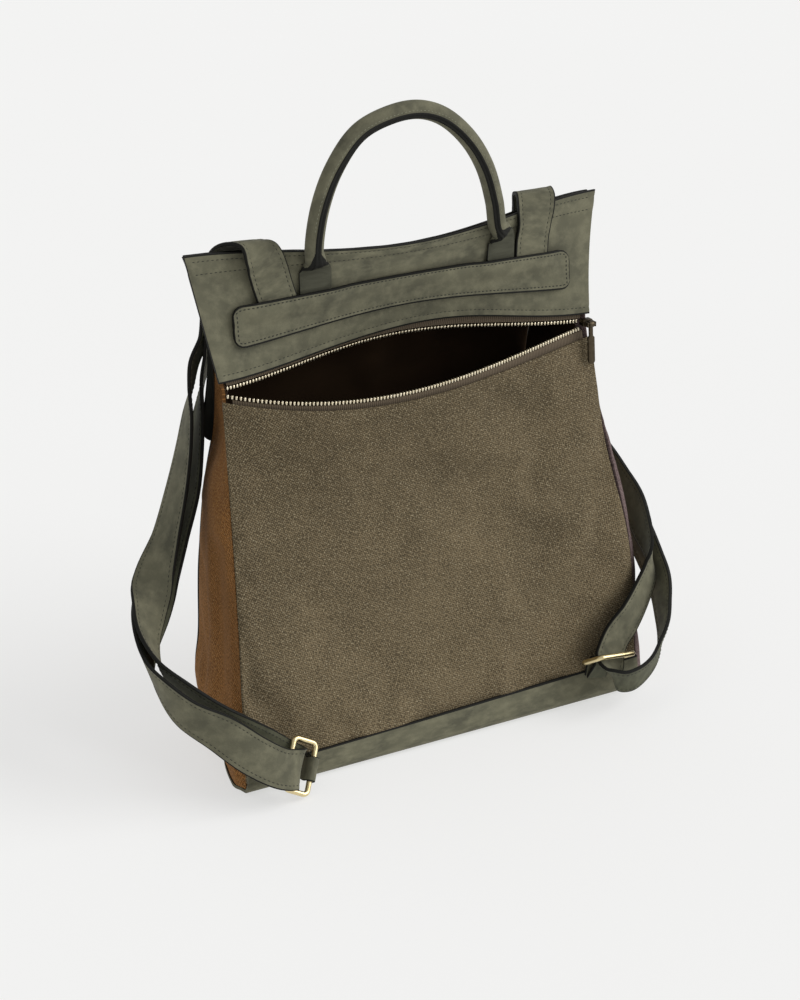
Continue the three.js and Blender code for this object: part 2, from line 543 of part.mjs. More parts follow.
function ringBody(ring) {
  const torus = new THREE.TorusGeometry(2, 1, RING_SIDES, RING_STEPS);
  const frame = ringFrame(ring);
  return bend(torus, (x, y, z) => {
    const turn = (Math.atan2(y, x) / (2 * Math.PI) + 1) * RING_STEPS;
    const spot = ringAt(Math.round(turn));
    const out = Math.hypot(x, y) - 2;
    return spot.p.clone().addScaledVector(spot.out, (out * RING.wire) / 2)
      .add(vec(0, 0, (z * RING.wire) / 2)).applyMatrix4(frame);
  });
}
parts.push(closed("ring_left", ringBody(LEFT_RING), BRASS, 0.35, 1));
parts.push(closed("ring_right", ringBody(RIGHT_RING), BRASS, 0.35, 1));

// Ring tabs: leather folded round the fixed bar, both ends brought together at the base seam
const TAB_TURN = RING.wire / 2 + GAP + TAB.thick / 2;
const TAB_APART = 0.3;
const TAB_FOLD = { straight: 2.6, flat: 0.45 };
function ringTab(ring, rootZ) {
  const frame = ringFrame(ring);
  const fixed = vec(0, -(RING.deep + RING.wire) / 2, 0).applyMatrix4(frame);
  const bar = vec().setFromMatrixColumn(frame, 0);
  const lipFace = backAt(fixed.x / HALF_BASE, rootZ / ZIP_Z).y - LIP_OUT - BASE.thick / 2;
  const rootY = lipFace - GAP - TAB.thick - TAB_APART;
  const root = vec(fixed.x, rootY, rootZ);
  const away = root.clone().sub(fixed);
  away.addScaledVector(bar, -away.dot(bar)).normalize();
  const side = bar.clone().cross(away).normalize();
  const half = TAB.thick / 2 + TAB_APART;
  const line = new THREE.CatmullRomCurve3([
    root.clone().addScaledVector(side, half),
    fixed.clone().addScaledVector(side, TAB_TURN).addScaledVector(away, TAB_FOLD.straight),
    fixed.clone().addScaledVector(side, TAB_TURN),
    fixed.clone().addScaledVector(away, -TAB_TURN).addScaledVector(side, TAB_TURN * TAB_FOLD.flat),
    fixed.clone().addScaledVector(away, -TAB_TURN).addScaledVector(side, -TAB_TURN * TAB_FOLD.flat),
    fixed.clone().addScaledVector(side, -TAB_TURN),
    fixed.clone().addScaledVector(side, -TAB_TURN).addScaledVector(away, TAB_FOLD.straight),
    root.clone().addScaledVector(side, -half),
  ], false, "centripetal");
  return bend(new THREE.BoxGeometry(1, 1, 1, 1, 20, 1), (x, y, z) => {
    const k = clamp(y + 0.5, 0, 1);
    const across = bar.clone().lerp(vec(bar.x, 0, bar.z), smooth(Math.abs(2 * k - 1), 0.72, 1)).normalize();
    const face = line.getTangent(k).cross(across).normalize();
    return line.getPoint(k).addScaledVector(across, x * TAB.wide).addScaledVector(face, z * TAB.thick);
  });
}
parts.push(closed("ring_tab_left", ringTab(LEFT_RING, TAB.rootLeft), LEATHER_GREEN, 0.85, 0));
parts.push(closed("ring_tab_right", ringTab(RIGHT_RING, TAB.rootRight), LEATHER_GREEN, 0.85, 0));

// Zip: tapes behind the two lips, rows of teeth along the lips
const TAPE_BEHIND = LEATHER / 2 + TAPE.gap + TAPE.thick / 2;
const TAPE_BEHIND_CANVAS = CANVAS / 2 + TAPE.gap + TAPE.thick / 2;
const upperTape = (u, v) => (
  yokeAt(TAPE.half * (2 * u - 1), (TEETH.long + GAP + v * TAPE.wide) / YOKE_TALL));
const lowerTape = (u, v) => (
  backAt(TAPE.half * (2 * u - 1), 1 - (TEETH.long + GAP + (1 - v) * TAPE.wide) / ZIP_Z));
parts.push(closed("zip_tape_upper",
  sheet(20, 2, TAPE.thick, upperTape, () => -TAPE_BEHIND), TAPE_GREY, 0.95, 0));
parts.push(closed("zip_tape_lower",
  sheet(20, 2, TAPE.thick, lowerTape, () => -TAPE_BEHIND_CANVAS), TAPE_GREY, 0.95, 0));

// One row of teeth as a comb: every second column stops at the root
function teeth(place, behind) {
  const columns = 2 * TEETH.count;
  return bend(new THREE.BoxGeometry(1, 1, 1, columns, 1, 1), (x, y, z) => {
    const u = x + 0.5;
    const isTip = Math.round(u * columns) % 2 === 1;
    const v = y < 0 ? 0 : isTip ? 1 : TEETH.root;
    return place(u, v).addScaledVector(normalOf(place, u, v), z * TEETH.thick - behind);
  });
}
const alongTeeth = (u) => lerp(TEETH.from, TEETH.to, u);
const upperTeeth = (u, v) => yokeAt(alongTeeth(u), ((1 - v) * TEETH.long) / YOKE_TALL);
const lowerTeeth = (u, v) => backAt(alongTeeth(u), 1 - ((1 - v) * TEETH.long) / ZIP_Z);
parts.push(closed("zip_teeth_upper", teeth(upperTeeth, TAPE_BEHIND), BRASS, 0.4, 1));
parts.push(closed("zip_teeth_lower", teeth(lowerTeeth, TAPE_BEHIND_CANVAS), BRASS, 0.4, 1));

// Bodies that can be added together or cut
function solid(geometry) {
  geometry.deleteAttribute("normal");
  geometry.deleteAttribute("uv");
  const body = mergeVertices(geometry, 1e-4);
  return new wasm.Manifold(new wasm.Mesh({
    numProp: 3,
    vertProperties: new Float32Array(body.attributes.position.array),
    triVerts: new Uint32Array(body.index.array),
  }));
}
function geometryOf(manifold) {
  const mesh = manifold.getMesh();
  const geometry = new THREE.BufferGeometry();
  geometry.setAttribute("position", new THREE.BufferAttribute(mesh.vertProperties, 3));
  geometry.setIndex(new THREE.BufferAttribute(mesh.triVerts, 1));
  return geometry;
}
function block(x, y, z, wide, deep, tall) {
  return solid(new THREE.BoxGeometry(wide, deep, tall).translate(x, y, z));
}
function rod(radius, long, sides, at) {
  const across = new THREE.CylinderGeometry(radius, radius, long, sides).rotateZ(Math.PI / 2);
  return solid(across.translate(at.x, at.y, at.z));
}

// Slider at the closed end of the mouth, with a pin held in front of it by two legs
const SLIDER_FACE = SLIDER.back - SLIDER.deep;
const PIN = vec(SLIDER.x, SLIDER_FACE - 2 * GAP - PULL.eye, SLIDER.z);
const LEG_X = PULL.eyeWide / 2 + GAP + SLIDER.leg / 2;
const legReach = SLIDER_FACE + 1 - (PIN.y - PULL.eye + 0.6);
let slider = block(SLIDER.x, SLIDER.back - SLIDER.deep / 2, SLIDER.z, SLIDER.long, SLIDER.deep, SLIDER.tall);
for (const side of [-1, 1]) {
  slider = slider.add(block(SLIDER.x + side * LEG_X, SLIDER_FACE + 1 - legReach / 2, SLIDER.z,
    SLIDER.leg, legReach, SLIDER.tall - 1));
}
slider = slider.add(rod(PULL.pin, 2 * LEG_X, 16, PIN));
parts.push(closed("zip_slider", geometryOf(slider), GUNMETAL, 0.45, 1));

// Pull: an eye round the pin, a narrow neck and a rounded plate
const halfNeck = PULL.neck / 2;
const neckTop = -PULL.hole - 0.4;
const halfWide = PULL.wide / 2;
const plate = new THREE.Shape();
plate.moveTo(-halfNeck, neckTop);
plate.lineTo(-halfNeck, -PULL.neckEnd);
plate.lineTo(-halfWide, -PULL.neckEnd - halfWide + halfNeck);
plate.lineTo(-halfWide, -PULL.long + halfWide);
plate.absarc(0, -PULL.long + halfWide, halfWide, Math.PI, 2 * Math.PI, false);
plate.lineTo(halfWide, -PULL.neckEnd - halfWide + halfNeck);
plate.lineTo(halfNeck, -PULL.neckEnd);
plate.lineTo(halfNeck, neckTop);
const plateBody = new THREE.ExtrudeGeometry(plate,
  { depth: PULL_PLATE.thick, bevelEnabled: false, curveSegments: 6 });
plateBody.translate(0, 0, -PULL_PLATE.thick / 2);
plateBody.rotateX(Math.PI / 2 - THREE.MathUtils.degToRad(PULL_PLATE.tilt));
plateBody.translate(PIN.x, PIN.y, PIN.z);
const bored = rod(PULL.hole, PULL.wide, 16, PIN);
const pull = rod(PULL.eye, PULL.eyeWide, 20, PIN).add(solid(plateBody)).subtract(bored);
parts.push(closed("zip_pull", geometryOf(pull), GUNMETAL, 0.45, 1));

const bag = new THREE.Group();
bag.name = "backpack";
for (const part of parts) bag.add(part);
export default bag;
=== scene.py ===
# %% [markdown]
# This lesson dresses a soft wedge-shaped backpack, seen from the side that lies on the back. The packed
# CAD model comes in as a fixed frame: it holds the real sizes and the bodies, and nothing in it is moved.
# Each sewn piece is made again here as a finer mesh on the same curved surfaces, so that cloth can
# wrinkle, leather can show its cut edges and the zip can have every tooth.

# %% Load the frame
import math

import bmesh
import bpy
from mathutils import Matrix, Vector, noise


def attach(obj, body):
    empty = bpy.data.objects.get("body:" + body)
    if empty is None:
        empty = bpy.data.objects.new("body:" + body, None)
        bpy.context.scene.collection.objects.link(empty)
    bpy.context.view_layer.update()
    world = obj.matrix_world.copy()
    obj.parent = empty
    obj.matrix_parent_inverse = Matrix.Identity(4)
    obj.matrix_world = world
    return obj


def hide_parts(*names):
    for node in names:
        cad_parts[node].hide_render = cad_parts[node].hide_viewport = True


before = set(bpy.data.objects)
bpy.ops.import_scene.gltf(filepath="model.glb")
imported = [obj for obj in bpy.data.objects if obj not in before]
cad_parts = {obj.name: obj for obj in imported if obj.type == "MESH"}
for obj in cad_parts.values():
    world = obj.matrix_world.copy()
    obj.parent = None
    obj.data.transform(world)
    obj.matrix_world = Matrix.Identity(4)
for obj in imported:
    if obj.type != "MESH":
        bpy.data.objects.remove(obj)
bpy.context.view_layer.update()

MM = 0.001

# %% [markdown]
# The camera stands left of the bag's middle and looks down on it through a long lens, so the edges stay
# nearly parallel. Its place is worked out from two angles and a distance, which is easier to correct
# than a matrix.

# %% Camera
VIEW = {"azimuth": 30.8, "elevation": 22, "distance": 1688, "aim_right": -2.5, "aim_up": 132.4}
LENS = 93.6
turn = math.radians(VIEW["azimuth"])
tilt = math.radians(VIEW["elevation"])
view_right = Vector((math.cos(turn), -math.sin(turn), 0))
view_back = Vector((-math.sin(turn) * math.cos(tilt), -math.cos(turn) * math.cos(tilt), math.sin(tilt)))
view_up = view_back.cross(view_right)
aim = (view_right * VIEW["aim_right"] + view_up * VIEW["aim_up"]) * MM
camera = bpy.data.objects.new("camera", bpy.data.cameras.new("camera"))
camera.data.lens = LENS
camera.matrix_world = Matrix.Translation(aim + view_back * VIEW["distance"] * MM) @ Matrix(
    (view_right, view_up, view_back)).transposed().to_4x4()
bpy.context.scene.collection.objects.link(camera)
bpy.context.scene.camera = camera
print("camera at", [round(c, 3) for c in camera.location])

# %% [markdown]
# Two functions serve every material. One turns a hex colour, as a paint program shows it, into the
# linear numbers that Blender mixes light with. The other adds a node, sets its options and sockets, and
# links any socket that is given another node's output.

# %% Material helpers
def linear(hex_colour):
    """A colour such as "5d6152" as linear red, green, blue and alpha."""
    channels = [int(hex_colour[i:i + 2], 16) / 255 for i in (0, 2, 4)]
    return [c / 12.92 if c <= 0.04045 else ((c + 0.055) / 1.055) ** 2.4 for c in channels] + [1.0]


def node(tree, kind, sockets=None, **options):
    """Adds a node. Options are its own settings; sockets take a value, or an output to link."""
    made = tree.nodes.new(kind)
    for name, value in options.items():
        setattr(made, name, value)
    for name, value in (sockets or {}).items():
        if isinstance(value, bpy.types.NodeSocket):
            tree.links.new(value, made.inputs[name])
        else:
            made.inputs[name].default_value = value
    return made


def new_material(name, **sockets):
    """A material with its node tree and its shader, the shader's plain sockets set."""
    material = bpy.data.materials.new(name)
    material.use_nodes = True
    shader = material.node_tree.nodes["Principled BSDF"]
    for socket, value in sockets.items():
        shader.inputs[socket.replace("_", " ")].default_value = value
    return material, material.node_tree, shader


MIX_A, MIX_B, MIX_OUT = 6, 7, 2
WAVE_PERIOD = 2 * math.pi / 20


def per_mm(size):
    """Texture scale at which one cell of a pattern is size millimetres, on coordinates in metres."""
    return 1 / (size * MM)

# %% [markdown]
# The studio is a pale floor that runs past the picture's edges, an even white sky and one large soft sun
# from the right, about 30 degrees up. A sun with a wide angle gives soft shadows and lights the floor
# evenly, where an area lamp would leave a bright patch. The paper also glows, like a lit table, which
# keeps the bag's shadow as faint as a studio's many lamps would.

# %% Floor and light
FLOOR_HALF = 14.0
FLOOR_DROP = 0.3
SKY_STRENGTH = 0.52
SUN = {"energy": 1.95, "angle": 50}
SUN_FROM = Vector((0.85, -0.62, 0.62))
floor_material, tree, shader = new_material("lit_paper", Roughness=0.9, Specular_IOR_Level=0.1,
                                            Emission_Strength=0.645)
shader.inputs["Emission Color"].default_value = linear("f2f2f1")
coords = node(tree, "ShaderNodeTexCoord")
fibres = node(tree, "ShaderNodeTexNoise", {"Vector": coords.outputs["Object"], "Scale": per_mm(400)})
paper = node(tree, "ShaderNodeMix", {0: fibres.outputs["Fac"], MIX_A: linear("a5a5a4"),
                                     MIX_B: linear("a7a7a7")}, data_type="RGBA")
tree.links.new(paper.outputs[MIX_OUT], shader.inputs["Base Color"])
bm = bmesh.new()
bmesh.ops.create_grid(bm, x_segments=4, y_segments=4, size=FLOOR_HALF)
bmesh.ops.translate(bm, verts=bm.verts, vec=(0, 0, -FLOOR_DROP * MM))
floor_mesh = bpy.data.meshes.new("floor")
bm.to_mesh(floor_mesh)
bm.free()
floor_mesh.materials.append(floor_material)
floor = bpy.data.objects.new("floor", floor_mesh)
bpy.context.scene.collection.objects.link(floor)

world = bpy.data.worlds.new("white_sky")
world.use_nodes = True
world.node_tree.nodes["Background"].inputs["Color"].default_value = (1, 1, 1, 1)
world.node_tree.nodes["Background"].inputs["Strength"].default_value = SKY_STRENGTH
bpy.context.scene.world = world
sun = bpy.data.objects.new("soft_sun", bpy.data.lights.new("soft_sun", "SUN"))
sun.data.energy = SUN["energy"]
sun.data.angle = math.radians(SUN["angle"])
sun.rotation_euler = SUN_FROM.to_track_quat("Z", "Y").to_euler()
bpy.context.scene.collection.objects.link(sun)
bpy.context.scene.view_settings.view_transform = "Standard"
print("floor", 2 * FLOOR_HALF, "m wide, sun from", [round(c, 2) for c in SUN_FROM.normalized()])

# %% [markdown]
# The panels are stone-washed cotton canvas in a plain weave: thick slubby yarn, dark gaps between the
# threads, pale flecks of undyed fibre and slow changes of shade from the wash. Two wave textures make
# warp and weft, and their product stands up where threads cross. The thread is drawn a little coarser
# than the real one, which would be finer than a pixel here, and lies aslant, so that it doesn't line up
# with the picture's rows. Painted light and shade make the cloth paler toward the foot and darker toward
# the top, for how the light falls on it. The sides are the same cloth dyed rust. A narrow mauve cloth is
# painted on as painted sheen along the right gusset's back edge, where the cloth is seen at a grazing
# angle, and as painted shade in a pleat high on the left. The patterns read the UV map of the flat cut,
# in metres, and the painted light and shade read the height. WASH lists the stains by size in mm,
# detail, dimmest and brightest.

# %% Woven cotton
# Painted light and shade: the cloth is brightened toward the foot and darkened toward the top.
PAINTED_HEIGHT_SHADE = {"top": 240, "at_foot": 1.35, "at_top": 0.75}
WASH = ((1.3, 2.0, 0.2, 1.5), (12, 3.0, 0.8, 1.15), (60, 3.0, 0.7, 1.2))
FIBRE_SIZE = 1.0
WEAVE_RELIEF = 0.3


def woven(name, deep, body, fleck, thread, slant, cross, fleck_share):
    """Washed cotton: deep lies between threads, fleck is pale fibre, thread is the spacing in mm.

    cross is how dark the gaps get between threads, slant the threads' turn in radians."""
    material, tree, shader = new_material(name, Roughness=0.95, Specular_IOR_Level=0.12)
    cut = node(tree, "ShaderNodeUVMap", uv_map="cut")
    laid = node(tree, "ShaderNodeMapping", {"Vector": cut.outputs["UV"], "Rotation": (0, 0, slant)})
    thread_scale = WAVE_PERIOD * per_mm(thread)
    warp, weft = (node(tree, "ShaderNodeTexWave",
                       {"Vector": laid.outputs["Vector"], "Scale": thread_scale, "Distortion": 2.4,
                        "Detail": 2.0, "Detail Scale": 1.6}, bands_direction=way) for way in "XY")
    along, across = (node(tree, "ShaderNodeMapRange", {"Value": wave.outputs["Fac"], "To Min": 1 - cross})
                     for wave in (warp, weft))
    weave = node(tree, "ShaderNodeMath", {0: along.outputs[0], 1: across.outputs[0]}, operation="MULTIPLY")
    place = node(tree, "ShaderNodeTexCoord")
    height = node(tree, "ShaderNodeSeparateXYZ", {"Vector": place.outputs["Object"]})
    # Painted light and shade by height: the multiplier runs from at_foot at the floor to at_top at the top.
    height_shade = node(tree, "ShaderNodeMapRange", {"Value": height.outputs["Z"], "From Max": PAINTED_HEIGHT_SHADE["top"] * MM,
                                              "To Min": PAINTED_HEIGHT_SHADE["at_foot"], "To Max": PAINTED_HEIGHT_SHADE["at_top"]})
    lit = node(tree, "ShaderNodeMath", {0: weave.outputs[0], 1: height_shade.outputs[0]}, operation="MULTIPLY")
    for size, detail, dim, bright in WASH:
        spots = node(tree, "ShaderNodeTexNoise", {"Vector": laid.outputs["Vector"], "Scale": per_mm(size),
                                                  "Detail": detail, "Roughness": 0.6})
        worn = node(tree, "ShaderNodeMapRange", {"Value": spots.outputs["Fac"], "From Min": 0.3,
                                                 "From Max": 0.7, "To Min": dim, "To Max": bright})
        lit = node(tree, "ShaderNodeMath", {0: lit.outputs[0], 1: worn.outputs[0]}, operation="MULTIPLY")
    reach = node(tree, "ShaderNodeMapRange", {"Value": lit.outputs[0], "From Min": 0.0, "From Max": 0.75})
    cloth = node(tree, "ShaderNodeMix", {0: reach.outputs[0], MIX_A: linear(deep), MIX_B: linear(body)},
                 data_type="RGBA")
    fibre = node(tree, "ShaderNodeTexNoise", {"Vector": laid.outputs["Vector"], "Scale": per_mm(FIBRE_SIZE),
                                              "Detail": 0.0})
    nep = node(tree, "ShaderNodeMapRange", {"Value": fibre.outputs["Fac"], "From Min": 0.64,
                                            "From Max": 0.78, "To Max": fleck_share})
    colour = node(tree, "ShaderNodeMix", {0: nep.outputs[0], MIX_A: cloth.outputs[MIX_OUT],
                                          MIX_B: linear(fleck)}, data_type="RGBA")
    relief = node(tree, "ShaderNodeBump", {"Height": lit.outputs[0], "Strength": 0.6,
                                           "Distance": WEAVE_RELIEF * MM})
    tree.links.new(colour.outputs[MIX_OUT], shader.inputs["Base Color"])
    tree.links.new(relief.outputs["Normal"], shader.inputs["Normal"])
    return material


OLIVE = woven("washed_cotton_canvas_olive", "2f291e", "7e7057", "b0a58a",
              thread=1.3, slant=0.5, cross=0.6, fleck_share=0.6)
RUST = woven("washed_cotton_canvas_rust", "472f1a", "996c3e", "b2946a",
             thread=1.3, slant=0.5, cross=0.6, fleck_share=0.4)
# A mauve cloth used only as painted sheen and painted shade on the gussets.
SHEEN_SHADE_CLOTH = woven("mauve_painted_sheen_and_shade", "3f3433", "756462", "9a8e88",
                thread=1.0, slant=0.25, cross=0.5, fleck_share=0.3)
DYE_SIZE = 30
LINING, tree, shader = new_material("dark_cotton_lining", Roughness=1.0, Specular_IOR_Level=0.05)
cut = node(tree, "ShaderNodeUVMap", uv_map="cut")
dye = node(tree, "ShaderNodeTexNoise", {"Vector": cut.outputs["UV"], "Scale": per_mm(DYE_SIZE),
                                        "Detail": 5.0})
depth = node(tree, "ShaderNodeMix", {0: dye.outputs["Fac"], MIX_A: linear("21180f"),
                                     MIX_B: linear("33261a")}, data_type="RGBA")
tree.links.new(depth.outputs[MIX_OUT], shader.inputs["Base Color"])
print("woven cloth:", OLIVE.name, RUST.name, LINING.name)

# %% [markdown]
# The yoke, straps, handle and base are nubuck: cowhide sanded on its grain side to a short nap. That
# gives no gloss, a cloudy change of shade where the nap lies one way or another, and a very fine grain.
# The reverse of the straps is the same hide, a shade darker. Every cut edge carries a rubbery black edge
# paint, and the thread is a dark waxed cotton.

# %% Leather, edge paint and thread
CLOUD_SIZE, NAP_SIZE, GRAIN_SIZE = 24, 9, 0.9
GRAIN_RELIEF = 0.2


def nubuck(name, dark, middle, light, sheen):
    """Sanded leather in three shades, clouded at two sizes with a fine grain over both."""
    material, tree, shader = new_material(name, Roughness=0.82, Specular_IOR_Level=0.25, Sheen_Weight=sheen,
                                          Sheen_Roughness=0.4)
    cut = node(tree, "ShaderNodeUVMap", uv_map="cut")
    cloud = node(tree, "ShaderNodeTexNoise", {"Vector": cut.outputs["UV"], "Scale": per_mm(CLOUD_SIZE),
                                              "Detail": 2.0, "Roughness": 0.5})
    nap = node(tree, "ShaderNodeTexNoise", {"Vector": cut.outputs["UV"], "Scale": per_mm(NAP_SIZE),
                                            "Detail": 4.0, "Roughness": 0.6})
    grain = node(tree, "ShaderNodeTexNoise", {"Vector": cut.outputs["UV"], "Scale": per_mm(GRAIN_SIZE),
                                              "Detail": 2.0})
    low = node(tree, "ShaderNodeMapRange", {"Value": cloud.outputs["Fac"], "From Min": 0.3,
                                            "From Max": 0.7})
    high = node(tree, "ShaderNodeMapRange", {"Value": nap.outputs["Fac"], "From Min": 0.42,
                                             "From Max": 0.8, "To Max": 0.8})
    hide = node(tree, "ShaderNodeMix", {0: low.outputs[0], MIX_A: linear(dark), MIX_B: linear(middle)},
                data_type="RGBA")
    brushed = node(tree, "ShaderNodeMix", {0: high.outputs[0], MIX_A: hide.outputs[MIX_OUT],
                                           MIX_B: linear(light)}, data_type="RGBA")
    speck = node(tree, "ShaderNodeMapRange", {"Value": grain.outputs["Fac"], "From Min": 0.3,
                                              "From Max": 0.5, "To Min": 0.22, "To Max": 0.0})
    colour = node(tree, "ShaderNodeMix", {0: speck.outputs[0], MIX_A: brushed.outputs[MIX_OUT],
                                          MIX_B: linear(dark)}, data_type="RGBA")
    relief = node(tree, "ShaderNodeBump", {"Height": grain.outputs["Fac"], "Strength": 0.35,
                                           "Distance": GRAIN_RELIEF * MM})
    tree.links.new(colour.outputs[MIX_OUT], shader.inputs["Base Color"])
    tree.links.new(relief.outputs["Normal"], shader.inputs["Normal"])
    return material


NUBUCK = nubuck("grey_green_nubuck", "504f41", "686653", "7e7b65", sheen=0.05)
REVERSE = nubuck("nubuck_reverse", "434436", "545443", "656652", sheen=0.0)
TAB_FACE = nubuck("dark_nubuck_reverse", "37372c", "46463a", "565648", sheen=0.0)
# The flap's near-black is partly dark leather and partly painted shade.
FLAP_HIDE_AND_SHADE = nubuck("black_green_nubuck_and_painted_shade", "171914", "20221d", "2b2d27", sheen=0.05)


def plain_grained(name, colour, shade, grain_size, strength, **sockets):
    """A near-plain finish: two close shades and a fine bump at grain_size millimetres."""
    material, tree, shader = new_material(name, **sockets)
    coords = node(tree, "ShaderNodeTexCoord")
    grain = node(tree, "ShaderNodeTexNoise", {"Vector": coords.outputs["Object"],
                                              "Scale": per_mm(grain_size), "Detail": 3.0})
    tint = node(tree, "ShaderNodeMix", {0: grain.outputs["Fac"], MIX_A: linear(colour),
                                        MIX_B: linear(shade)}, data_type="RGBA")
    relief = node(tree, "ShaderNodeBump", {"Height": grain.outputs["Fac"], "Strength": strength,
                                           "Distance": GRAIN_RELIEF * MM})
    tree.links.new(tint.outputs[MIX_OUT], shader.inputs["Base Color"])
    tree.links.new(relief.outputs["Normal"], shader.inputs["Normal"])
    return material


EDGE_PAINT = plain_grained("black_edge_paint", "10100d", "1b1b17", 2.5, 0.3, Roughness=0.7,
                           Specular_IOR_Level=0.2)
THREAD = plain_grained("waxed_cotton_thread", "1c1d17", "2c2d25", 0.5, 0.5, Roughness=0.8)
PALE_THREAD = plain_grained("pale_waxed_thread", "8a8a78", "74745f", 0.5, 0.5, Roughness=0.8)
print("leather:", NUBUCK.name, REVERSE.name, FLAP_HIDE_AND_SHADE.name)

# %% [markdown]
# The rings are cast brass with a pale satin plating, the zip teeth the same metal in a paler, brighter
# shade, and the slider is brass under a dark gunmetal finish. A metal's colour is its base colour, so
# small changes in tint are enough to stop it looking like plastic. The zip tape is a
# ribbed polyester ribbon: a wave texture across its width draws the ribs.

# %% Metals and zip tape
RING_BRASS = plain_grained("pale_satin_brass", "efdfb2", "cfbb8a", 3.0, 0.1, Metallic=1.0, Roughness=0.3)
TOOTH_BRASS = plain_grained("rubbed_brass_teeth", "f4ecd8", "cdbf9c", 2.0, 0.15, Metallic=1.0,
                            Roughness=0.34)
GUNMETAL = plain_grained("antique_gunmetal", "5a5040", "3a342a", 2.0, 0.2, Metallic=1.0, Roughness=0.42)

RIB = 1.3
TAPE, tree, shader = new_material("ribbed_zip_tape", Roughness=0.9, Specular_IOR_Level=0.2)
cut = node(tree, "ShaderNodeUVMap", uv_map="cut")
ribs = node(tree, "ShaderNodeTexWave", {"Vector": cut.outputs["UV"], "Scale": WAVE_PERIOD * per_mm(RIB),
                                        "Distortion": 0.5}, bands_direction="X")
ribbon = node(tree, "ShaderNodeMix", {0: ribs.outputs["Fac"], MIX_A: linear("4a4034"),
                                      MIX_B: linear("6a5e4e")}, data_type="RGBA")
relief = node(tree, "ShaderNodeBump", {"Height": ribs.outputs["Fac"], "Strength": 0.5,
                                       "Distance": GRAIN_RELIEF * MM})
tree.links.new(ribbon.outputs[MIX_OUT], shader.inputs["Base Color"])
tree.links.new(relief.outputs["Normal"], shader.inputs["Normal"])
print("metals:", RING_BRASS.name, TOOTH_BRASS.name, GUNMETAL.name)

# %% [markdown]
# Every sewn piece starts as a flat grid, like the cut piece on the table. Its UV map is that flat cut in
# metres, and then each vertex moves to its place on the bag. A Solidify modifier gives the wall its
# thickness and puts one material outside, one inside and one on the cut edge; a Bevel rounds that edge.

# %% Sewn piece helpers
MERGE = 0.01
CUT_ANGLE = math.radians(50)


def lerp(a, b, k):
    return a + (b - a) * k


def clamp(x, low=0.0, high=1.0):
    return max(low, min(high, x))


def smooth(x, start, end):
    k = clamp((x - start) / (end - start))
    return k * k * (3 - 2 * k)


def even(steps):
    return [i / steps for i in range(steps + 1)]


def normal_of(place, u, v):
    """Unit normal of a surface that is given by two running numbers."""
    h = 1e-3
    return (place(u + h, v) - place(u - h, v)).cross(place(u, v + h) - place(u, v - h)).normalized()


def lifted(place, lift):
    """The same surface moved along its normal by lift(u, v) millimetres."""
    return lambda u, v: place(u, v) + normal_of(place, u, v) * lift(u, v)


def laid_grid(columns, rows, place, size, origin=(0, 0), slot_of=None):
    """A grid laid on a surface: columns and rows are the cuts from 0 to 1, size the flat piece in mm.

    slot_of(u, v) gives the material of the face whose middle is there."""
    bm = bmesh.new()
    flat = bm.loops.layers.uv.new("cut")
    bmesh.ops.create_grid(bm, x_segments=len(columns) - 1, y_segments=len(rows) - 1, size=0.5)
    spots = {}
    for vert in bm.verts:
        column = round((vert.co.x + 0.5) * (len(columns) - 1))
        row = round((vert.co.y + 0.5) * (len(rows) - 1))
        spots[vert] = (columns[column], rows[row])
    for face in bm.faces:
        for loop in face.loops:
            u, v = spots[loop.vert]
            loop[flat].uv = ((origin[0] + u * size[0]) * MM, (origin[1] + v * size[1]) * MM)
        if slot_of:
            middle = [sum(spots[vert][way] for vert in face.verts) / len(face.verts) for way in (0, 1)]
            face.material_index = slot_of(*middle)
    for vert, (u, v) in spots.items():
        vert.co = place(u, v) * MM
    return bm


def make_piece(name, bm, materials, stands_for=(), body="bag"):
    """Turns a bmesh into a smooth object that rides on a body and stands for CAD nodes."""
    for face in bm.faces:
        face.smooth = True
    mesh = bpy.data.meshes.new(name)
    bm.to_mesh(mesh)
    bm.free()
    for material in materials:
        mesh.materials.append(material)
    obj = bpy.data.objects.new(name, mesh)
    bpy.context.scene.collection.objects.link(obj)
    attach(obj, body)
    if stands_for:
        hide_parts(*stands_for)
    return obj


def thicken(obj, thick, rounded, finer=0):
    """Gives a piece its wall, with its second material inside and its third on the cut edge."""
    if finer:
        finer_grid = obj.modifiers.new("finer_grid", "SUBSURF")
        finer_grid.levels = finer
        finer_grid.render_levels = finer
        finer_grid.boundary_smooth = "PRESERVE_CORNERS"
    wall = obj.modifiers.new("wall", "SOLIDIFY")
    wall.thickness = thick * MM
    wall.offset = 0
    wall.material_offset = 1
    wall.material_offset_rim = 2
    edge = obj.modifiers.new("rounded_edge", "BEVEL")
    edge.width = rounded * MM
    edge.segments = 2
    edge.limit_method = "ANGLE"
    edge.angle_limit = CUT_ANGLE
    return obj

# %% [markdown]
# The surfaces repeat the construction of the CAD source, in millimetres: the same few sizes, and the
# same formulas for how the zip lips open and the top edge dips. s runs from -1 at the left to 1 at the
# right, t from 0 at a piece's foot to 1 at its head.

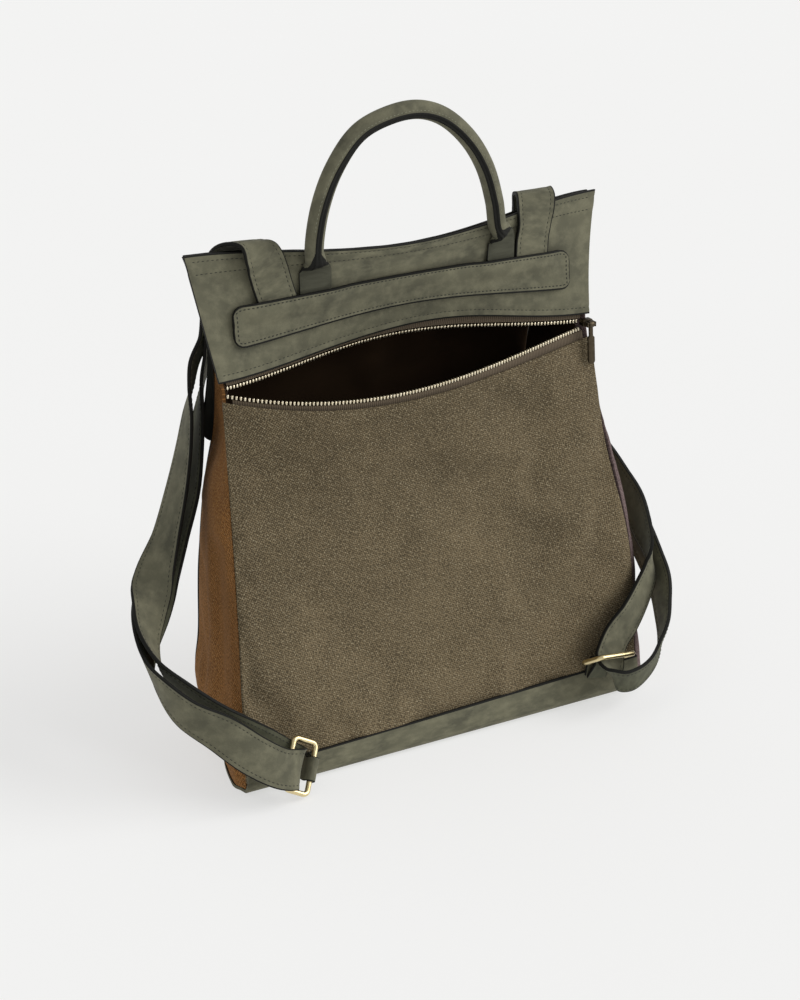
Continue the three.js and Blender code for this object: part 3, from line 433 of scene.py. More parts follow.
# %% The bag's surfaces
HALF_BASE, HALF_ZIP, HALF_TOP = 145, 131, 144.5
BACK_Y, ZIP_Y, TOP_Y = -57, -10, 8
ZIP_Z, TOP_Z = 241, 322
YOKE_TALL = TOP_Z - ZIP_Z
CANVAS, LEATHER, GAP = 1.8, 2.0, 0.35
LOWER_LIP = {"forward": 27, "down": 10.5, "skew": 0.45}
UPPER_LIP = {"inward": 16, "up": 7.5}
TOP_DIP = {"forward": 17, "down": 9, "front_from": 200}
YOKE_WAIST = 2.5
SIDE_BULGE = {"out": 9, "ends": 0.78}
SWELL = {"out": 3, "waist": 1.5, "opens": 2.6}
YOKE_ARCH = {"forward": 10, "up": 33}
TOOTH = {"long": 3.4, "from": -0.985, "to": 0.943}
TAPE_SIZE = {"wide": 12, "thick": 0.8, "under_yoke": 2, "half": 0.96, "gap": 0.7}
BASE = {"thick": 2.4, "round": 5, "seam_left": 16, "seam_right": 23}


def bow(s):
    return max(math.cos(math.pi / 2 * s), 0) ** 1.7


def sag(s):
    return (1 - s * s) * (1 - LOWER_LIP["skew"] * s)


def right_only(s):
    return max(s, 0) ** 2


def back_at(s, t):
    """Back panel below the zip."""
    half = lerp(HALF_BASE, HALF_ZIP, t) - SWELL["waist"] * math.sin(math.pi * t)
    belly = SWELL["out"] * math.sin(math.pi * t) * (1 - s * s)
    opened = max(t, 0) ** SWELL["opens"] * sag(s)
    bulge = SIDE_BULGE["out"] * math.sin(math.pi * clamp(t / SIDE_BULGE["ends"])) ** 2
    y = lerp(BACK_Y, ZIP_Y, t) - belly - LOWER_LIP["forward"] * opened
    return Vector((s * half + bulge * right_only(s), y, ZIP_Z * t - LOWER_LIP["down"] * opened))


def yoke_at(s, t):
    """Leather yoke above the zip."""
    half = lerp(HALF_ZIP, HALF_TOP, t)
    lean = lerp(UPPER_LIP["inward"], -TOP_DIP["forward"], t) - YOKE_ARCH["forward"] * t * (1 - t)
    rise = lerp(UPPER_LIP["up"], -TOP_DIP["down"], t) + YOKE_ARCH["up"] * t * (1 - t)
    x = s * half - YOKE_WAIST * math.sin(math.pi * t) * right_only(s)
    return Vector((x, lerp(ZIP_Y, TOP_Y, t) + lean * bow(s), lerp(ZIP_Z, TOP_Z, t) + rise * bow(s)))


FRONT_COLUMNS = ("height", "half", "side", "middle")
FRONT = [
    (0, 99, 45, 50), (28, 121.5, 53, 57), (60, 119, 55.5, 59),
    (110, 119.5, 51, 55), (160, 118.4, 44, 48), (200, 113.7, 38.4, 39.5),
    (241, 116, 32, 30), (290, 129, 20, 9), (322, 143, 12.2, -4.8),
]


def front_column(name, height):
    """One column of the front's table at a height, along a smooth curve through the rows."""
    c = FRONT_COLUMNS.index(name)
    i = 0
    while i < len(FRONT) - 2 and height > FRONT[i + 1][0]:
        i += 1
    before, low, high, after = (FRONT[clamp(i + step, 0, len(FRONT) - 1)] for step in (-1, 0, 1, 2))
    span = high[0] - low[0]
    k = clamp((height - low[0]) / span)
    slope_in = (high[c] - before[c]) / (high[0] - before[0]) * span
    slope_out = (after[c] - low[c]) / (after[0] - low[0]) * span
    return ((2 * k ** 3 - 3 * k ** 2 + 1) * low[c] + (k ** 3 - 2 * k ** 2 + k) * slope_in
            + (3 * k ** 2 - 2 * k ** 3) * high[c] + (k ** 3 - k ** 2) * slope_out)


def front_at(s, height):
    """Front panel, by height."""
    dip = TOP_DIP["down"] * smooth(height, TOP_DIP["front_from"], TOP_Z) * bow(s)
    y = lerp(front_column("side", height), front_column("middle", height), bow(s))
    return Vector((s * front_column("half", height), y, height - dip))


ROLL = {-1: {"out": 4.5, "foot": 0, "turn": 0.1}, 1: {"out": 8.5, "foot": 2, "turn": 0.04}}
BELLY = {"all": 3, "foot": 6, "foot_until": 70, "pinch": 14}
PINCH_RUN = (170, 290)
ROLL_ENDS = (150, 215)


def back_edge(side, height):
    if height < ZIP_Z:
        edge = back_at(side, height / ZIP_Z)
    else:
        edge = yoke_at(side, (height - ZIP_Z) / YOKE_TALL)
    return Vector((side * edge.x, edge.y, height))


def gusset_at(side, q, height):
    """Side of the bag: q runs from its back edge to its front edge, side is -1 or 1."""
    a = back_edge(side, height)
    b = front_at(1, height)
    low = 1 - smooth(height, 0, BELLY["foot_until"])
    high = smooth(height, *PINCH_RUN)
    out = ROLL[side]["out"] + ROLL[side]["foot"] * low
    roll = out * smooth(q, 0, ROLL[side]["turn"]) * (1 - q) * (1 - smooth(height, *ROLL_ENDS))
    belly = (BELLY["all"] + BELLY["foot"] * low - BELLY["pinch"] * high) * math.sin(math.pi * q)
    return Vector((side * (lerp(a.x, b.x, q) + roll + belly), lerp(a.y, b.y, q), height))


print("yoke top middle at", [round(c, 1) for c in yoke_at(0, 1)], "mm")

# %% [markdown]
# Washed canvas never hangs flat. Each canvas panel is let out by a small share of its size, pinned along
# its seams and left to buckle in a short cloth simulation with gravity off. The movement is capped, so
# that the panel keeps the CAD's shape, and the result is applied. A faint seeded ripple beforehand gives
# the cloth something to buckle from.

# %% Cloth that settles
SETTLE_FRAMES = 18
RIPPLE = 0.5


def settle(obj, slack, cap, ripple_size):
    """Lets a pinned panel buckle: slack is the extra cloth as a share, cap the most movement in mm."""
    rest = [v.co.copy() for v in obj.data.vertices]
    bm = bmesh.new()
    bm.from_mesh(obj.data)
    sewn = [v.index for v in bm.verts if v.is_boundary]
    for vert in bm.verts:
        if not vert.is_boundary:
            vert.co += vert.normal * (noise.noise(vert.co / (ripple_size * MM)) * RIPPLE * MM)
    bm.to_mesh(obj.data)
    bm.free()
    pins = obj.vertex_groups.new(name="sewn")
    pins.add(sewn, 1.0, "REPLACE")
    cloth = obj.modifiers.new("cloth", "CLOTH")
    cloth.settings.vertex_group_mass = "sewn"
    cloth.settings.shrink_min = -slack
    cloth.settings.bending_stiffness = 4
    cloth.settings.air_damping = 4
    cloth.settings.effector_weights.gravity = 0
    for step in range(1, SETTLE_FRAMES + 1):
        bpy.context.scene.frame_set(step)
    evaluated = obj.evaluated_get(bpy.context.evaluated_depsgraph_get())
    settled = [v.co.copy() for v in evaluated.data.vertices]
    obj.modifiers.remove(cloth)
    bpy.context.scene.frame_set(1)
    furthest = 0
    for vert, start, end in zip(obj.data.vertices, rest, settled):
        move = end - start
        furthest = max(furthest, move.length / MM)
        if move.length > cap * MM:
            move *= cap * MM / move.length
        vert.co = start + move
    print(obj.name, "moved", round(furthest, 2), "mm before the cap of", cap)

# %% [markdown]
# The back panel is one piece of canvas from the base's strip up to the zip. Its upper edge stops short of
# the teeth, so that the lower tape shows, a little more toward the slider.

# %% Back panel
PANEL_FOOT = BASE["thick"] + 2 * GAP
TAPE_SHOWS = {"left": 2, "right": 5}
BACK_FOOT = (BASE["thick"] / 2 + BASE["round"] + GAP) / ZIP_Z
BACK_CUT = (290, 236)


def panel_place(u, v):
    head = 1 - (TOOTH["long"] + lerp(TAPE_SHOWS["left"], TAPE_SHOWS["right"], u)) / ZIP_Z
    return back_at(2 * u - 1, lerp(BACK_FOOT, head, v))


back_panel = make_piece(
    "back_panel_canvas", laid_grid(even(72), even(60), panel_place, BACK_CUT),
    [OLIVE, LINING, OLIVE], ["back_panel"])
settle(back_panel, slack=0.012, cap=2.2, ripple_size=40)
thicken(back_panel, CANVAS, 0.7, finer=1)

# %% [markdown]
# The front panel is hidden in the photograph, so it is finished plainly in the same rust canvas as the
# sides. The two gussets fill the sides: they bulge at the foot, where the bag's contents push them out,
# and pinch in toward the top.

# %% Front panel and gussets
FRONT_CUT = (244, 322)
front_panel = make_piece(
    "front_panel_canvas",
    laid_grid(even(56), even(64),
              lambda u, v: front_at(1 - 2 * u, lerp(PANEL_FOOT, TOP_Z - 1, v)), FRONT_CUT,
              (400, 0)),
    [RUST, LINING, EDGE_PAINT], ["front_panel"])
settle(front_panel, slack=0.012, cap=2.0, ripple_size=45)
thicken(front_panel, CANVAS, 0.6, finer=1)

GUSSET_HEAD = 304
GUSSET_CUT = (90, 303)
GUSSET_CLEAR = {"front": 5 * GAP, "side": 0.2}
# Where the gussets get the mauve: painted sheen along the right back edge, painted shade in the left pleat.
SHEEN_SHADE_BAND = {"right_wide": 0.12, "left_from": 0.1, "left_to": 0.3, "left_above": 0.72}
SHEEN_SHADE_STEPS = 3
sheen_shade_columns = [SHEEN_SHADE_BAND["right_wide"] * k for k in even(SHEEN_SHADE_STEPS)]
GUSSET_COLUMNS = sheen_shade_columns + [lerp(SHEEN_SHADE_BAND["right_wide"], 1, k) for k in even(20)[1:]]
CREASES = [
    {"q": 0.3, "wide": 0.07, "deep": 1.6, "low": -20, "high": 150},
    {"q": 0.62, "wide": 0.08, "deep": 1.3, "low": 20, "high": 190},
    {"q": 0.14, "wide": 0.05, "deep": 1.5, "low": 215, "high": 290},
]


def crease(q, height):
    """How far the folds of a gusset lie behind its surface, in mm."""
    deep = 0
    for fold in CREASES:
        along = clamp((height - fold["low"]) / (fold["high"] - fold["low"]))
        deep += fold["deep"] * math.sin(math.pi * along) * math.exp(-((q - fold["q"]) / fold["wide"]) ** 2)
    return deep


for side_name, side in (("left", -1), ("right", 1)):
    def gusset_place(u, v):
        height = lerp(PANEL_FOOT, GUSSET_HEAD, v)
        deep = (front_at(1, height) - back_edge(side, height)).length
        behind_yoke = (LEATHER / 2 + GAP) / deep
        behind_front = (CANVAS / 2 + GUSSET_CLEAR["front"]) / deep
        across = u if side > 0 else 1 - u
        p = gusset_at(side, lerp(behind_yoke, 1 - behind_front, across), height)
        p.x -= side * (CANVAS / 2 + GUSSET_CLEAR["side"] + crease(across, height))
        return p

    def sheen_shade_slot(u, v):
        """Painted sheen in mauve along the right edge, and painted shade in mauve in a pleat high on the
        left.
        """
        if side > 0:
            return 3 if u < SHEEN_SHADE_BAND["right_wide"] else 0
        return 3 if SHEEN_SHADE_BAND["left_from"] < 1 - u < SHEEN_SHADE_BAND["left_to"] and v > SHEEN_SHADE_BAND["left_above"] else 0

    columns = GUSSET_COLUMNS if side > 0 else [1 - c for c in reversed(GUSSET_COLUMNS)]
    gusset = make_piece(
        f"gusset_{side_name}_canvas",
        laid_grid(columns, even(66), gusset_place, GUSSET_CUT, (700 + 200 * side, 0), sheen_shade_slot),
        [RUST, LINING, RUST, SHEEN_SHADE_CLOTH], [f"gusset_{side_name}"])
    settle(gusset, slack=0.015, cap=2.0, ripple_size=30)
    thicken(gusset, CANVAS, 0.6, finer=1)

# %% [markdown]
# The yoke is one hide panel with a turned hem along the top. The hem makes the band stand up by half a
# millimetre, and each sewn line pulls the leather down a little: both are real relief in the grid, which
# has rows close enough to hold them.

# %% Yoke
YOKE_FOOT = (TOOTH["long"] + TAPE_SIZE["under_yoke"]) / YOKE_TALL
YOKE_CUT = (280, 82)
HEM_SEAMS = (4.2, 11.5)
HEM_LINES = [1 - from_top / YOKE_TALL for from_top in HEM_SEAMS]
HEM_RISE = (-0.025, 0.005)
FOOT_SEAM = 4.2
HEM_STAND = 0.5
BARED = {"at": 0.3, "wide": 0.4, "up": 3}


def sewn_dip(distance, depth=0.35, width=1.1):
    """How far a row of stitches pulls leather down at a distance from the row, in mm."""
    return -depth * math.exp(-(distance / width) ** 2)


def yoke_foot(s):
    """The yoke's lower edge, which bares more tape right of the middle."""
    return YOKE_FOOT + BARED["up"] * math.exp(-((s - BARED["at"]) / BARED["wide"]) ** 2) / YOKE_TALL


def yoke_lift(s, t):
    lift = HEM_STAND * smooth(t, *(HEM_LINES[1] + step for step in HEM_RISE))
    for line in (*HEM_LINES, yoke_foot(s) + FOOT_SEAM / YOKE_TALL):
        lift += sewn_dip((t - line) * YOKE_TALL)
    return lift


def yoke_skin(u, t):
    """The yoke's middle surface with its hem, u from 0 to 1 across."""
    across = lambda a, b: yoke_at(2 * a - 1, b)
    return across(u, t) + normal_of(across, u, t) * yoke_lift(2 * u - 1, t)


YOKE_ROWS = 72


def yoke_place(u, v):
    return yoke_skin(u, lerp(yoke_foot(2 * u - 1), 1, v))


def painted_hem(u, v):
    return 2 if v * YOKE_ROWS < 1 or v * YOKE_ROWS > YOKE_ROWS - 1 else 0


yoke = make_piece(
    "back_yoke_leather",
    laid_grid(even(96), even(YOKE_ROWS), yoke_place, YOKE_CUT, (0, 400), painted_hem),
    [NUBUCK, LINING, EDGE_PAINT], ["back_yoke"])
thicken(yoke, LEATHER, 0.45)
print("yoke", len(yoke.data.polygons), "faces")

# %% [markdown]
# A strip with round ends is sewn over the feet of the handle and straps. It lies close to the yoke in the
# middle and is lifted where it covers the feet, which gives it its soft swell.

# %% Anchor strip
STRIP = {"low": 0.28, "high": 0.59, "half": 119.5, "round": 7, "lift": 2.9}
STRIP_TALL = (STRIP["high"] - STRIP["low"]) * YOKE_TALL
STRIP_SEAM = 2.6
STRIP_DIP = 0.3
OVER_FEET = {"rises": (38, 58), "falls": (103, 114)}
STRIP_SWELL = {"rises": (0.3, 0.75), "between": 0.35}
END_FLAT = (4, 9)
RIM = 0.04
ROUND_STEPS = 4


def strip_spot(u, v):
    """Where a point of the strip lies on the yoke: s across and t up."""
    x = (2 * u - 1) * STRIP["half"]
    k = clamp((STRIP["half"] - abs(x)) / STRIP["round"])
    corner = STRIP["round"] * (1 - math.sqrt(1 - (1 - k) ** 2)) / STRIP_TALL
    t = lerp(STRIP["low"], STRIP["high"], lerp(corner, 1 - corner, v))
    return x / lerp(HALF_ZIP, HALF_TOP, t), t


def strip_lift(u, v):
    x = (2 * u - 1) * STRIP["half"]
    over_feet = smooth(abs(x), *OVER_FEET["rises"]) * (1 - smooth(abs(x), *OVER_FEET["falls"]))
    swell = STRIP["lift"] * smooth(v, *STRIP_SWELL["rises"]) * lerp(STRIP_SWELL["between"], 1, over_feet)
    from_edge = min(v, 1 - v) * STRIP_TALL
    inside_ends = smooth(STRIP["half"] - abs(x), *END_FLAT)
    return LEATHER + GAP + swell + sewn_dip(from_edge - STRIP_SEAM, STRIP_DIP) * inside_ends


def strip_skin(u, v):
    """The strip's middle surface, lifted along the yoke's own normal."""
    s, t = strip_spot(u, v)
    return yoke_at(s, t) + normal_of(yoke_at, s, t) * strip_lift(u, v)


round_share = STRIP["round"] / (2 * STRIP["half"])
strip_ends = [round_share * (1 - math.cos(k * math.pi / 2)) for k in even(ROUND_STEPS)]
strip_middle = [lerp(strip_ends[-1], 1 - strip_ends[-1], k) for k in even(90)[1:-1]]
strip_columns = strip_ends + strip_middle + [1 - c for c in reversed(strip_ends)]
low_rows = [0, RIM, 0.08, 0.105, 0.13, 0.17, 0.25, 0.35, 0.45]
strip_rows = low_rows + [1 - r for r in reversed(low_rows)]


def painted_rim(u, v):
    return 2 if min(u, 1 - u) < strip_ends[1] or min(v, 1 - v) < RIM else 0


strip = make_piece(
    "anchor_strip_leather",
    laid_grid(strip_columns, strip_rows, strip_skin, (2 * STRIP["half"], STRIP_TALL), (0, 500), painted_rim),
    [NUBUCK, REVERSE, EDGE_PAINT], ["anchor_strip"])
thicken(strip, LEATHER, 0.3)
print("strip", len(strip.data.polygons), "faces")

# %% [markdown]
# The base is a leather plate with a strip turned up over the foot of the back panel. One grid makes both:
# its rows run down the strip, round a small corner and under the bag to the front.

# %% Base
LIP_OUT = CANVAS / 2 + GAP + BASE["thick"] / 2
BASE_ROWS = {"lip": 3, "corner": 4, "plate": 7}
BASE_STEPS = 56
BASE_CUT = (290, 130)


def base_at(u, v):
    s = 1 - 2 * u
    row = v * sum(BASE_ROWS.values())
    seam = lerp(BASE["seam_left"], BASE["seam_right"], 1 - u)
    ground = BASE["thick"] / 2
    corner_top = ground + BASE["round"]
    lip_y = lambda z: back_at(s, z / ZIP_Z).y - LIP_OUT
    if row < BASE_ROWS["lip"]:
        z = lerp(seam, corner_top, row / BASE_ROWS["lip"])
        return Vector((back_at(s, z / ZIP_Z).x, lip_y(z), z))
    corner_y = lip_y(corner_top) + BASE["round"]
    if row < BASE_ROWS["lip"] + BASE_ROWS["corner"]:
        a = (row - BASE_ROWS["lip"]) / BASE_ROWS["corner"] * math.pi / 2
        return Vector((s * HALF_BASE, corner_y - BASE["round"] * math.cos(a),
                       corner_top - BASE["round"] * math.sin(a)))
    q = (row - BASE_ROWS["lip"] - BASE_ROWS["corner"]) / BASE_ROWS["plate"]
    side = gusset_at(-1 if s < 0 else 1, q, 0)
    back_y = gusset_at(1, 0, 0).y
    front_y = front_at(s, 0).y + CANVAS / 2
    reach = (side.y - back_y) / (front_at(1, 0).y - back_y)
    return Vector((abs(s) * side.x, lerp(corner_y, front_y, reach), ground))


def painted_lip(u, v):
    return 3 if v * BASE_STEPS < 1 else 0


base = make_piece(
    "base_leather", laid_grid(even(72), even(BASE_STEPS), base_at, BASE_CUT, (0, 620), painted_lip),
    [NUBUCK, LINING, NUBUCK, EDGE_PAINT], ["base"])
thicken(base, BASE["thick"], 0.5)

# %% [markdown]
# A flap hangs on the hidden front from the top edge. Its near-black colour is partly dark leather and
# partly painted shade, for the shadow its corner lies in. Only its lower corner shows past the side, so
# it is a plain sheet with rounded lower corners.

# %% Front flap
FLAP = {"low": 190, "half_low": 119, "round": 9, "gap": 1.2, "top": TOP_Z - 4, "within": 0.98,
        "widens": 0.7}
FLAP_CUT = (244, 125)
FLAP_OFF = CANVAS / 2 + FLAP["gap"] + LEATHER / 2


def flap_at(u, v):
    height = lerp(FLAP["low"], FLAP["top"], v)
    p = front_at(FLAP["within"] * (1 - 2 * u), height)
    half = front_at(1, height).x
    wide = lerp(FLAP["half_low"] / half, 1, smooth(v, 0, FLAP["widens"]))
    up = clamp((height - FLAP["low"]) / FLAP["round"])
    trim = FLAP["round"] * (1 - math.sqrt(1 - (1 - up) ** 2))
    p.x = (1 - 2 * u) * (half * wide - trim)
    return p


flap_rows = [0, 0.003, 0.009, 0.02, 0.035, 0.055, 0.08] + [lerp(0.08, 1, k) for k in even(36)[1:]]
flap_place = lifted(flap_at, lambda u, v: FLAP_OFF)
# Near-black leather, partly painted shade.
flap = make_piece("front_flap_leather", laid_grid(even(48), flap_rows, flap_place, FLAP_CUT, (0, 760)),
                  [FLAP_HIDE_AND_SHADE, FLAP_HIDE_AND_SHADE, EDGE_PAINT], ["front_flap"])
thicken(flap, LEATHER, 0.45)

# %% [markdown]
# The handle and straps follow lines through a few points. A centripetal curve passes through every point
# without loops, also where they are unevenly spaced.

# %% Curves through points
def through(points, k):
    """A point on the smooth centripetal curve through points, k from 0 to 1."""
    at = clamp(k) * (len(points) - 1)
    i = min(int(at), len(points) - 2)
    f = at - i
    p1, p2 = points[i], points[i + 1]
    p0 = points[i - 1] if i > 0 else p1 * 2 - p2
    p3 = points[i + 2] if i + 2 < len(points) else p2 * 2 - p1
    d0, d1, d2 = (max((b - a).length, 1e-4) ** 0.5 for a, b in ((p0, p1), (p1, p2), (p2, p3)))
    m1 = ((p1 - p0) / d0 - (p2 - p0) / (d0 + d1) + (p2 - p1) / d1) * d1
    m2 = ((p2 - p1) / d1 - (p3 - p1) / (d1 + d2) + (p3 - p2) / d2) * d1
    return (p1 * (2 * f ** 3 - 3 * f ** 2 + 1) + m1 * (f ** 3 - 2 * f ** 2 + f)
            + p2 * (3 * f ** 2 - 2 * f ** 3) + m2 * (f ** 3 - f ** 2))


def heading(points, k):
    """The way that curve runs at k."""
    h = 1e-4
    return (through(points, min(k + h, 1)) - through(points, max(k - h, 0))).normalized()


def off_yoke(x, t, lift):
    """A point over the yoke and the yoke's normal there."""
    s = x / lerp(HALF_ZIP, HALF_TOP, t)
    n = normal_of(yoke_at, s, t)
    return yoke_at(s, t) + n * lift, n

# %% [markdown]
# The handle is a strip of leather rolled round a cord, so the strip's two painted edges meet in one black
# seam that runs along the inner side of the arch. At each foot the roll opens out flat: the seam's edges
# part, and the black between them, widening into a throat, is painted shade; below it the dark reverse
# shows. A grid is bent round into a tube: its columns run round the section, close together at the seam.

# %% Handle
HANDLE = {"radius": 5.7, "tab_half": 10.4, "tab_thick": 1.6}
HANDLE_FEET = {"left": {"x": -64.5, "lean": 0.2}, "right": {"x": 66.5, "lean": 0.9}}
HANDLE_OUT = {"foot": -10, "arch": -13, "from": 312, "to": 345}
TAB_LIFT = LEATHER / 2 + 2 * GAP + HANDLE["tab_thick"] / 2
FOOT_ROWS = [(0.51, 0, TAB_LIFT, HANDLE["tab_half"], HANDLE["tab_thick"] / 2),
             (0.62, 0, TAB_LIFT, HANDLE["tab_half"], HANDLE["tab_thick"] / 2),
             (0.785, 0, TAB_LIFT + 0.1, HANDLE["tab_half"], HANDLE["tab_thick"] / 2),
             (0.835, -1.2, 3.5, 8.6, 1.7),
             (0.89, -3.4, 6.2, 6.4, 4.2)]
ARCH = [(-67.8, 318.8), (-65, 344.5), (-55.2, 367), (-39, 386), (-17.8, 394), (1.7, 395), (19, 388.8),
        (36.7, 373.3), (48.7, 354.5), (56.6, 331.8), (60.7, 314.6)]
SEAM_TURN = [math.radians(a) for a in (100, 92, 62, 64, 62)]
SEAM_HALF = math.radians(17)
SEAM_STAND = 0.6
SEAM_GROOVE = {"deep": 0.45, "wide": 0.05}
SEAM_EDGE = 0.05
SEAM_PAINT = 0.04
ROLLS_UP = (2.2, 5.0)
FLAT_POWER = 4.5
TAB_FRONT = {"reverse": 0.2, "painted": 0.3}
# Rows over which the black widens from the seam to the foot: painted shade where the roll opens.
THROAT_SHADE = {"from": 2.9, "to": 5.2}


def foot_rows(foot):
    """A foot's rows: middle, face, half width and half thickness."""
    rows = []
    for t, shift, lift, half, thick in FOOT_ROWS:
        middle = off_yoke(foot["x"] + foot["lean"] * shift, t, lift)[0]
        rows.append((middle, off_yoke(foot["x"], t, 0)[1], half, thick))
    return rows


arch_rows = []
for x, z in ARCH:
    y = lerp(HANDLE_OUT["foot"], HANDLE_OUT["arch"], smooth(z, HANDLE_OUT["from"], HANDLE_OUT["to"]))
    arch_rows.append((Vector((x, y, z)), Vector((0, -1, 0)), HANDLE["radius"], HANDLE["radius"]))
handle_rows = foot_rows(HANDLE_FEET["left"]) + arch_rows + foot_rows(HANDLE_FEET["right"])[::-1]
handle_line = [row[0] for row in handle_rows]
LAST_ROW = len(handle_rows) - 1


def rolled(k):
    """0 where the handle lies flat at a foot, 1 where it is a full roll."""
    row = min(k, 1 - k) * LAST_ROW
    return smooth(row, *ROLLS_UP)


def seam_turn(k):
    """How far the seam lies from the arch's inner side toward the camera's side."""
    at = k * (len(SEAM_TURN) - 1)
    i = min(int(at), len(SEAM_TURN) - 2)
    return lerp(SEAM_TURN[i], SEAM_TURN[i + 1], smooth(at - i, 0, 1))


def handle_at(u, v):
    at = v * LAST_ROW
    i = min(int(at), LAST_ROW - 1)
    low, high = handle_rows[i], handle_rows[i + 1]
    face = low[1].lerp(high[1], at - i)
    half = lerp(low[2], high[2], at - i)
    thick = lerp(low[3], high[3], at - i)
    along = heading(handle_line, v)
    across = along.cross(face).normalized()
    out = across.cross(along).normalized()
    round_by = rolled(v)
    from_seam = (u - 0.5) * 2 * math.pi
    angle = lerp(math.pi / 2, seam_turn(v), round_by) + from_seam
    power = 2 / lerp(FLAT_POWER, 2, round_by)
    x = math.copysign(abs(math.cos(angle)) ** power, math.cos(angle))
    z = math.copysign(abs(math.sin(angle)) ** power, math.sin(angle))
    ridge = SEAM_STAND * round_by * (1 - smooth(abs(from_seam), SEAM_HALF, SEAM_HALF + SEAM_EDGE))
    if abs(from_seam) < SEAM_HALF:
        ridge += round_by * half * (math.cos(SEAM_HALF) / math.cos(from_seam) - 1)
    ridge -= SEAM_GROOVE["deep"] * round_by * math.exp(-(from_seam / SEAM_GROOVE["wide"]) ** 2)
    return through(handle_line, v) + across * x * (half + ridge) + out * z * (thick + ridge)


seam_columns = [0.5 + a / (2 * math.pi) for a in
                (-SEAM_HALF - SEAM_EDGE, -SEAM_HALF, -0.16, -0.07, 0, 0.07, 0.16, SEAM_HALF,
                 SEAM_HALF + SEAM_EDGE)]
SIDE_STEPS = 44
left_columns = [lerp(0, seam_columns[0], k) for k in even(SIDE_STEPS)[:-1]]
handle_columns = left_columns + seam_columns + [1 - c for c in reversed(left_columns)]


def handle_slot(u, v):
    """Dark reverse with a painted rim where a foot lies flat, painted edges along the rolled seam, and a
    black throat of painted shade between them where the roll opens.
    """
    from_seam = abs(u - 0.5)
    row = min(v, 1 - v) * LAST_ROW
    if row < THROAT_SHADE["from"]:
        return 1 if from_seam < TAB_FRONT["reverse"] else 2 if from_seam < TAB_FRONT["painted"] else 0
    seam_share = (SEAM_HALF + SEAM_PAINT) / (2 * math.pi)
    # Painted shade: the black widens from the seam to the tab's rim as the roll opens.
    narrowed = smooth(row, THROAT_SHADE["from"], THROAT_SHADE["to"])
    return 2 if from_seam < lerp(TAB_FRONT["painted"], seam_share, narrowed) else 0


bm = laid_grid(handle_columns, even(240), handle_at, (36, 420), (300, 400), handle_slot)
bmesh.ops.remove_doubles(bm, verts=bm.verts, dist=MERGE * MM)
bmesh.ops.holes_fill(bm, edges=[e for e in bm.edges if e.is_boundary])
bmesh.ops.recalc_face_normals(bm, faces=bm.faces)
handle = make_piece("handle_rolled_leather", bm, [NUBUCK, TAB_FACE, EDGE_PAINT], ["handle"])
print("handle", len(handle.data.polygons), "faces")

# %% [markdown]
# Each strap is one flat strip of doubled leather. It is sewn to the yoke under the anchor strip, goes over
# the top edge, hangs behind the bag, comes round through a ring and doubles back. A ribbon like this would
# be lost in a remesh, so it is modelled directly: a middle line, and at each row the way one marked edge
# lies, which sets the twist. Rows list x, y, z and that edge's direction.

# %% Straps
STRAP = {"wide": 25, "thick": 2.2, "full": 0.3, "dip": 0.25}
FOOT_AT = {"left": {"x": -88.2, "lean": -19}, "right": {"x": 90, "lean": 5.4}}
LEFT_STRAP = [
    (-98, -2.5, 318, 0.95, 0.16, 0.27), (-101.5, 3, 324.2, 0.87, 0.48, -0.1),
    (-105, 12, 323, 0.92, 0.34, -0.2), (-108, 22, 315, 0.94, 0.15, -0.32),
    (-111, 33, 299, 0.95, 0.2, -0.25), (-108.2, 40, 281, 0.9, 0.4, -0.3),
    (-112.7, 45, 258, 0.65, 0.7, -0.3), (-121, 45, 243, 0.6, 0.74, -0.31),
    (-125, 43, 228, 0.5, 0.82, -0.28), (-129, 40, 212, 0.24, 0.93, -0.27),
    (-135, 35, 192, 0.06, 0.95, -0.29), (-144, 28, 170, -0.11, 0.95, -0.28),
    (-156, 19, 147, -0.27, 0.93, -0.25), (-170.5, 8, 127, -0.6, 0.76, 0.08),
    (-180, -4, 113, -0.85, 0.02, 0.45), (-187.5, -17, 101, -0.73, -0.43, 0.52),
    (-188, -31, 88, -0.42, -0.7, 0.57), (-178.6, -44, 74, -0.05, -0.8, 0.6),
    (-166, -55, 59, 0.25, -0.62, 0.72), (-150, -61, 44, 0.45, -0.25, 0.82),
    (-134, -64, 31, 0.48, 0.12, 0.83), (-124, -67, 23, 0.46, 0.34, 0.79),
    (-118.7, -71.8, 19.6, 0.45, 0.42, 0.78), (-120.6, -78.7, 20.9, 0.45, 0.42, 0.78),
    (-132.5, -81.3, 25.3, 0.47, 0.34, 0.8), (-149, -77.8, 36.6, 0.5, 0.12, 0.85),
    (-167, -70, 53, 0.45, -0.25, 0.82), (-183.5, -59, 65, 0.28, -0.62, 0.72),
    (-190.8, -46, 75, -0.02, -0.78, 0.62), (-193.5, -29, 85, -0.42, -0.68, 0.58),
    (-187, -12, 95, -0.75, -0.4, 0.5), (-177, 1, 106, -0.82, 0.15, 0.28),
    (-165, 12, 121, -0.57, 0.79, 0), (-149, 22, 142, -0.27, 0.93, -0.26),
    (-134.5, 31, 166, -0.11, 0.95, -0.29), (-125.5, 39, 189, 0.06, 0.95, -0.29),
    (-118.6, 46, 210, 0.24, 0.93, -0.27), (-113.5, 49, 229, 0.5, 0.82, -0.26),
    (-109.5, 47, 246, 0.62, 0.74, -0.26), (-107.5, 44, 262, 0.75, 0.6, -0.2),
]
